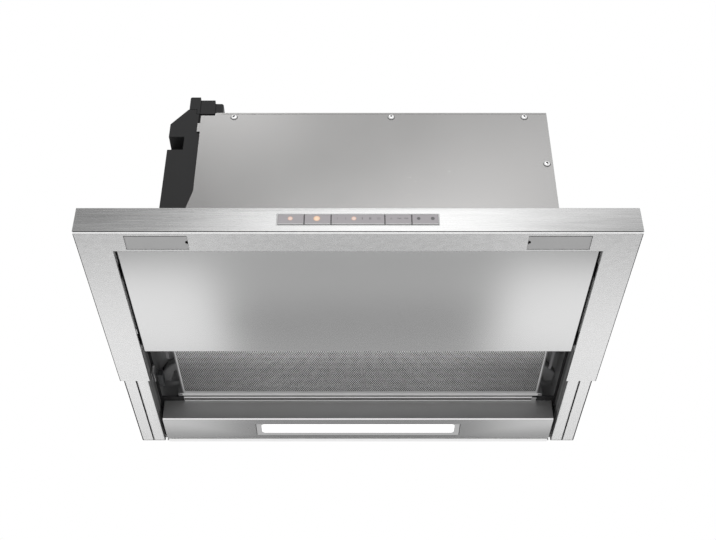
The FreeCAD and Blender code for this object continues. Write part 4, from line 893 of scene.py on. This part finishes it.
# %% Painted marks
face_y = size_of("key_1")[0][1]
mark_z = 17.8 * mm
paint_rise = 0.03 * mm
marks = [(-21.7, bars(1), faint_paint, "key_3"), (-13.0, bars(1), faint_paint, "key_3"),
         (4.5, bars(1), mark_paint, "key_3"), (12.8, bars(2), mark_paint, "key_3"),
         (21.7, bars(3), faint_paint, "key_3"), (34.8, triangle, faint_paint, "key_4"),
         (43.2, wave, mark_paint, "key_4"), (50.5, wave, mark_paint, "key_4"),
         (63.6, [disc * 1.9], mark_paint, "key_5"), (78.4, [disc * 2.1], mark_paint, "key_5")]
for step, (x, outlines, material, body) in enumerate(marks):
    points = np.concatenate(outlines) * mm
    corners = np.column_stack([points[:, 0] + x * mm, np.full(len(points), face_y - paint_rise),
                               points[:, 1] + mark_z])
    starts = np.cumsum([0] + [len(outline) for outline in outlines])
    faces = [list(range(first, last)) for first, last in zip(starts, starts[1:])]
    add_piece("mark_%d" % step, corners, faces, body, material, "grey_plastic")
print("marks:", len(marks))

# %% Lit dots
ring_reach = np.array([0.01, 0.35, 0.6, 0.8, 1.0])
ring_glow = np.array([1.0, 0.95, 0.62, 0.28, 0.0])
dot_rise = 0.04 * mm
small_dot = 2.9 * mm
large_dot = 3.9 * mm
dots = [("lit_1", -71.0 * mm, small_dot, lit_pink, "key_1"),
        ("lit_2", -43.2 * mm, large_dot, lit_amber, "key_2"),
        ("lit_3", -4.3 * mm, small_dot, lit_pink, "key_3")]
for name, x, radius, material, body in dots:
    points = (ring_reach[:, None, None] * radius * disc[None]).reshape(-1, 2)
    corners = np.column_stack([x + points[:, 0], np.full(len(points), face_y - dot_rise),
                               mark_z + points[:, 1]])
    faces = grid_faces(len(ring_reach), disc_steps, wrap=True)[:, ::-1]
    dot = add_piece(name, corners, faces, body, material, "grey_plastic")
    carry(dot, "glow", np.repeat(ring_glow, disc_steps))
print("lit dots:", len(dots))

# %% [markdown]
# ## Joint lines
#
# Joints between sheets are narrow and deep, so they read as dark lines: under the fascia, before the
# screw covers and at both ends of the light. Real slits this fine would need many cuts in the solids,
# and no light would come out of them. A thin black strip in the joint does the same.


# %% Strips on both sides
def mirrored(near, far, y, z):
    """Two strips as rows for boxes, left and right of the middle, from a near to a far reach."""
    return [(-far, -near, *y, *z), (near, far, *y, *z)]


# %% Joints of the light and the fascia
fascia_low, fascia_high = size_of("fascia")
fascia_inset = 1 * mm
joint_y = (fascia_low[1] + 0.25 * mm, fascia_low[1] + 1.3 * mm)
joint_z = (fascia_low[2] - 0.12 * mm, fascia_low[2] + 0.1 * mm)
joint_rows = [(fascia_low[0] + fascia_inset, fascia_high[0] - fascia_inset, *joint_y, *joint_z)]
for side in ("right", "left"):
    low, high = size_of("screw_cover_" + side)
    before_y = (low[1] + 1.0 * mm, low[1] + 1.85 * mm)
    before_z = (low[2] - 0.42 * mm, low[2] + 0.1 * mm)
    joint_rows.append((low[0], high[0], *before_y, *before_z))
bezel_low, bezel_high = size_of("light_bezel")
light_x = (bezel_high[0] - 3.5 * mm, bezel_high[0] - 2.1 * mm)
light_y = (bezel_low[1] + 3.4 * mm, bezel_high[1] - 4.2 * mm)
light_z = (bezel_low[2] - 0.05 * mm, bezel_low[2] + 0.2 * mm)
add_boxes("light_joints", mirrored(*light_x, light_y, light_z), "housing", gap_black, "black_plastic")
add_boxes("fascia_joint", joint_rows, "canopy", gap_black, "black_plastic")

# %% [markdown]
# ## Edge lines of the frame, the keys and the rails
#
# Where a sheet folds away from the eye, its outer edge turns dark in one fine line. The fold is half a
# millimetre round, and on its own it would show dark only beside a dark wall. A thin dark strip lies
# there instead as a painted dark reflection, in the hair's depth that the softened copies leave free.
# Along the lower edge of the keys' window the same strip is painted shade.

# %% Edges of the frame and gaps between the keys
frame_low, frame_high = size_of("pullout_frame")
edge_x = (frame_high[0] - 0.7 * mm, frame_high[0])
edge_y = (frame_low[1] + 2.95 * mm, frame_high[1] - 0.15 * mm)
edge_z = (0.0, 0.3 * mm)
edge_rows = mirrored(*edge_x, edge_y, edge_z)
key_boxes = [size_of("key_%d" % index) for index in range(1, 6)]
strip_y = (fascia_low[1], fascia_low[1] + 0.1 * mm)
gap_half = 0.23 * mm
gap_z = (9.4 * mm, 23.3 * mm)
for key, next_key in zip(key_boxes, key_boxes[1:]):
    gap_x = (key[1][0] + next_key[0][0]) / 2
    edge_rows.append((gap_x - gap_half, gap_x + gap_half, *strip_y, *gap_z))
# The strip along the lower edge of the keys' window is painted shade.
row_end = key_boxes[4][1][0] + 0.35 * mm
row_z = (8.9 * mm, 9.6 * mm)
edge_rows.append((-row_end, row_end, *strip_y, *row_z))
add_boxes("frame_edges", edge_rows, "canopy", edge_dark, "brushed_steel")

# %% Edges of the rails
rail_low, rail_high = size_of("rail_right")
fold_x = (rail_high[0] - 1.35 * mm, rail_high[0] - 0.05 * mm)
rail_y = (rail_low[1] + 0.15 * mm, rail_high[1] - 0.15 * mm)
fold_z = (rail_low[2] - 0.07 * mm, rail_low[2] + 0.6 * mm)
end_x = (rail_low[0] + 0.4 * mm, rail_high[0] - 0.3 * mm)
end_y = (rail_high[1] - 0.65 * mm, rail_high[1] - 0.05 * mm)
end_z = (rail_low[2] - 0.05 * mm, rail_low[2] + 0.4 * mm)
rail_rows = mirrored(*fold_x, rail_y, fold_z) + mirrored(*end_x, end_y, end_z)
add_boxes("rail_edges", rail_rows, "housing", edge_dark, "brushed_steel")
slot_x = (276.4 * mm, 277.0 * mm)
slot_z = (rail_low[2] + 0.02 * mm, rail_low[2] + 0.9 * mm)
add_boxes("slot_edges", mirrored(*slot_x, rail_y, slot_z), "housing", rail_steel, "brushed_steel")

# %% Lips beside the screen plate
plate_low, plate_high = size_of("screen_plate")
lip_x = (260.2 * mm, 260.5 * mm)
lip_y = (plate_low[1] + 1.15 * mm, plate_high[1] - 0.25 * mm)
lip_z = (0.6 * mm, 5.6 * mm)
add_boxes("bar_lips", mirrored(*lip_x, lip_y, lip_z), "canopy", cover_plastic, "brushed_steel")

# %% [markdown]
# ## Lips of the tray and the light panel
#
# The tray ends in a flat black lip beside the light panel, and the panel's upper flange is folded
# twice, so that its edge would show as a bright, a dark and a light line. Folding a sheet in the mesh
# would hide most of its faces. Three flat strips side by side carry that painted highlight and painted
# shade instead, and a pale strip behind the panel is painted light over the shaded gap before the bent
# end of the floor.

# %% Tray lips and flange lines
tray_lip_x = (231.8 * mm, 262 * mm)
tray_lip_y = (158.5 * mm, 167.95 * mm)
tray_lip_z = (29.2 * mm, 30.6 * mm)
tray_lips = mirrored(*tray_lip_x, tray_lip_y, tray_lip_z)
add_boxes("tray_lips", tray_lips, "housing", black_plastic, "black_plastic", 0.4 * mm)
flange_x = (-231 * mm, 231 * mm)
line_y = (158.0 * mm, 161.4 * mm, 165.6 * mm, 167.9 * mm)
flange_z = 28.5 * mm
flange_top = flange_z + 0.1 * mm
flange_foot = flange_z - 0.15 * mm
bright_line = (*flange_x, line_y[0], line_y[1], flange_foot, flange_z + 0.35 * mm)
dark_line = (*flange_x, line_y[1], line_y[2], flange_z - 0.10 * mm, flange_top)
light_line = (*flange_x, line_y[2], line_y[3], flange_foot, flange_top)
panel_rear = size_of("light_panel")[1][1]
rear_x = (-257 * mm, 257 * mm)
rear_line = (*rear_x, panel_rear + 1.5 * mm, panel_rear + 8.9 * mm, 0.3 * mm, 1.0 * mm)
for name, line, material in (("flange_bright", bright_line, galvanised),
                             ("flange_light", light_line, lip_plastic),
                             ("flange_dark", dark_line, gap_black),
                             ("rear_lip", rear_line, white_lip)):
    add_boxes(name, [line], "housing", material, "satin_steel")

# %% [markdown]
# ## Skirts and small fittings
#
# A skirt hangs on each side of the screen plate and closes the view into the side bar; its dark steel
# is painted shade, a dark sheet where the side bar lies in shade. In the tray, two small tabs and a spring
# clip hold the filter's sides. They are a few millimetres across, so plain boxes with rounded edges are
# enough.

# %% Skirts beside the screen plate
skirt_x = (261.1 * mm, 261.8 * mm)
skirt_z = (1.2 * mm, 12.0 * mm)
add_boxes("plate_skirts", mirrored(*skirt_x, lip_y, skirt_z), "canopy", channel, "brushed_steel")

# %% Tabs and clip beside the filter
tab_z = (27.6 * mm, 29.6 * mm)
tabs = [(-241.0 * mm, -237.1 * mm, 38 * mm, 62 * mm, *tab_z),
        (243.0 * mm, 246.6 * mm, 38 * mm, 86 * mm, *tab_z)]
add_boxes("tray_tabs", tabs, "housing", mark_paint, "black_plastic", 0.6 * mm)
clip_y = (78 * mm, 97 * mm)
clip = [(-261.9 * mm, -261.1 * mm, *clip_y, 15 * mm, 28 * mm),
        (-258.6 * mm, -257.9 * mm, *clip_y, 15 * mm, 28 * mm),
        (-261.9 * mm, -257.9 * mm, *clip_y, 27.2 * mm, 30.0 * mm)]
add_boxes("side_clip", clip, "housing", zinc_steel, "steel_small", 0.2 * mm)

# %% [markdown]
# ## Raised pads in the tray
#
# A pad like a bent arm rises from the tray on each side of the filter. It could be pushed out of the
# tray's own skin, but the skin has few faces there. A prism over the pad's outline, with a wide round
# along its edges, looks moulded on.


# %% Pads
def prism(outline, z_low, z_high):
    """Upright prism over an outline that runs anticlockwise from above."""
    count = len(outline)
    corners = np.concatenate([np.column_stack([outline, np.full(count, z)]) for z in (z_low, z_high)])
    faces = [tuple(range(count))[::-1], tuple(range(count, 2 * count))]
    faces += [(side, (side + 1) % count, (side + 1) % count + count, side + count) for side in range(count)]
    return corners, faces


pad = np.array([(-259.8, 149), (-259.8, 129), (-247, 112), (-238, 104), (-228, 104), (-228, 116),
                (-240, 124), (-247, 149)]) * mm
pad_low = 47.0 * mm
pad_high = 58.0 * mm
pad_round = 2.5 * mm
for name, outline in (("tray_pad_left", pad), ("tray_pad_right", (pad * [-1, 1])[::-1])):
    corners, faces = prism(outline, pad_low, pad_high)
    raised = add_piece(name, corners, faces, "housing", liner_plastic, "black_plastic", True)
    edge_bevel(raised, pad_round, 3)
    print(name, "corners:", len(corners))

# %% [markdown]
# ## Seams of the case
#
# The case and its head are two mouldings, and the head's cover is a third. Where they meet, a seam
# shows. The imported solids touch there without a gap, so a thin black strip marks each seam on the front.

# %% Seams
case_face = size_of("electronics_case")[0][1]
seam_rise = 0.12 * mm
seam_depth = 0.5 * mm
seams = np.array([(-222.2, -221.6, 391.5, 417.5), (-200.8, -200.2, 391.5, 411.0),
                  (-221.6, -201.0, 388.4, 390.8), (-222.8, -221.6, 360.0, 390.6)]) * mm
seam_rows = [(x_low, x_high, case_face - seam_rise, case_face + seam_depth, z_low, z_high)
             for x_low, x_high, z_low, z_high in seams]
add_boxes("case_seams", seam_rows, "housing", gap_black, "black_plastic")

# %% [markdown]
# ## Camera and floor
#
# The photograph was taken from below, in front of the middle of the bar. Its long edges gave the
# place and the tilt of the camera. The hood hangs in a kitchen, so the floor lies well below it and
# a view from steeply below still stands above the floor.

# %% Camera
camera_tilt = 36.54
camera_data = bpy.data.cameras.new("camera")
camera_data.lens = 57.13
camera_data.sensor_width = 36.0
camera = bpy.data.objects.new("camera", camera_data)
camera.location = (0.0, -1.15455, -0.7346)
camera.rotation_euler = (math.radians(90 + camera_tilt), 0.0, 0.0)
bpy.context.scene.collection.objects.link(camera)
bpy.context.scene.camera = camera
print("camera looks up by", camera_tilt, "degrees")


# %% Floor
def stage_mesh(name, corners, faces):
    """Mesh that belongs to the studio and not to the hood."""
    mesh = bpy.data.meshes.new(name)
    mesh.from_pydata(np.asarray(corners, float).tolist(), [], [list(map(int, face)) for face in faces])
    card = bpy.data.objects.new(name, mesh)
    bpy.context.scene.collection.objects.link(card)
    return card


def matt_material(name):
    """Material that scatters light evenly; returns the material, its tree and the shader."""
    material, tree, shader = new_material(name)
    shader.inputs["Roughness"].default_value = 0.9
    shader.inputs["Specular IOR Level"].default_value = 0.0
    return material, tree, shader


def matt_card(name, corners, level):
    """Matt card of one tone."""
    card = stage_mesh(name, corners, [(0, 1, 2, 3)])
    material, tree, shader = matt_material(name + "_finish")
    noise = stretched_noise(tree, (3.0, 3.0, 3.0), 1.0, 0.4)
    tree.links.new(ramp(tree, noise, grey(level * 0.99), grey(level)), shader.inputs["Base Color"])
    card.data.materials.append(material)
    return card


floor_z = -1.75
floor_level = 0.88
floor_corners = [(-6, -6, floor_z), (6, -6, floor_z), (6, 6, floor_z), (-6, 6, floor_z)]
matt_card("floor", floor_corners, floor_level)
print("floor height, m:", floor_z)

# %% [markdown]
# ## Graded board
#
# A photographer lays a graded board under polished steel, so that the flat sheets show soft dark and
# light bands. It could be one picture of a gradient, but then its bands could not be set apart. The
# board here is a grid, and the tone of each corner is a product of smooth steps.

# %% Tone of the board
board_steps = 151
board_x, board_y = np.meshgrid(np.linspace(-1.5, 1.5, board_steps), np.linspace(0.3, 3.3, board_steps),
                               indexing="ij")
# Across the middle the depth decides the tone; beyond it only the front and rear steps do.
across = smooth_step(board_x, -0.455, -0.315) * (1 - smooth_step(board_x, 0.325, 0.455))
depths = [1.10, 1.15, 1.35, 1.60, 1.85, 2.05, 2.30]
depth_tones = [1.0, 0.64, 0.50, 0.27, 0.50, 0.68, 0.64]
depth_tone = np.interp(board_y, depths, depth_tones)
far_side = smooth_step(np.abs(board_x), 0.30, 0.68)
front_level = 0.49 - 0.21 * far_side
front_tone = front_level + (1 - front_level) * smooth_step(board_y, 1.07, 1.34 - 0.08 * far_side)
rear_tone = 1 - 0.62 * smooth_step(board_y, 1.86, 2.16)
board_tone = 0.98 * front_tone * rear_tone * (1 - across * (1 - depth_tone))
print("board tones:", board_tone.min().round(3), board_tone.max().round(3))

# %% Board under the hood
board_z = -0.996
corners = np.stack([board_x, board_y, np.full(board_x.shape, board_z)], axis=-1).reshape(-1, 3)
board = stage_mesh("graded_board", corners, grid_faces(board_steps, board_steps)[:, ::-1])
carry(board, "tone", board_tone.ravel())
material, tree, shader = matt_material("graded_board_finish")
board_colour = ramp(tree, corner_value(tree, "tone"), grey(0.0), grey(1.0), 0.0, 1.0)
tree.links.new(board_colour, shader.inputs["Base Color"])
board.data.materials.append(material)
print("board corners:", len(corners))

# %% [markdown]
# ## Flags and lamps
#
# The front cover and the fascia look towards the camera's side of the room. Dark cards there, which a
# photographer calls flags, give them their soft shaded ends. The cards and the board only show in
# polished steel: they are hidden from the camera, cast no shadow and throw no light on matt faces.
# Three soft lamps stand high in front, and an even white room fills the rest.


# %% Flags
def upright_card(name, x, y, z, level):
    """Upright matt card that the front faces reflect, from its ends along x and its limits along z."""
    corners = [(x[0], y, z[0]), (x[1], y, z[0]), (x[1], y, z[1]), (x[0], y, z[1])]
    return matt_card(name, corners, level)


flag_y = -2.25
flags = [board,
         upright_card("cover_flag", (-1.6, -0.05), flag_y, (1.64, 2.25), 0.03),
         upright_card("fascia_flag_left", (-1.5, -0.86), flag_y, (1.2, 1.64), 0.65),
         upright_card("fascia_flag_right", (0.98, 1.6), flag_y, (1.2, 1.95), 0.34)]
for flag in flags:
    flag.visible_camera = False
    flag.visible_shadow = False
    flag.visible_diffuse = False
print("flags and board:", len(flags))


# %% Lamps
def area_lamp(name, place, aim, size, power):
    """Soft rectangular lamp that looks at a point."""
    data = bpy.data.lights.new(name, "AREA")
    data.shape = "RECTANGLE"
    data.size, data.size_y = size
    data.energy = power
    lamp = bpy.data.objects.new(name, data)
    lamp.location = place
    lamp.rotation_euler = (Vector(aim) - Vector(place)).to_track_quat("-Z", "Y").to_euler()
    lamp.visible_camera = False
    bpy.context.scene.collection.objects.link(lamp)


area_lamp("key_lamp", (0.05, -2.2, 1.50), (0.0, -0.2, 0.0), (1.00, 0.66), 4.9)
area_lamp("right_lamp", (0.75, -2.2, 2.15), (0.1, 0.0, 0.2), (0.8, 0.5), 1.2)
area_lamp("left_lamp", (-0.62, -2.2, 2.90), (-0.1, 0.0, 0.35), (0.7, 0.6), 3.0)
print("lamps:", len(bpy.data.lights))

# %% White room
world = bpy.data.worlds.new("studio")
bpy.context.scene.world = world
world.use_nodes = True
background = world.node_tree.nodes["Background"]
background.inputs["Color"].default_value = (*grey(1.0), 1)
background.inputs["Strength"].default_value = 1.0
bpy.context.scene.view_settings.view_transform = "Standard"
print("view:", bpy.context.scene.view_settings.view_transform)
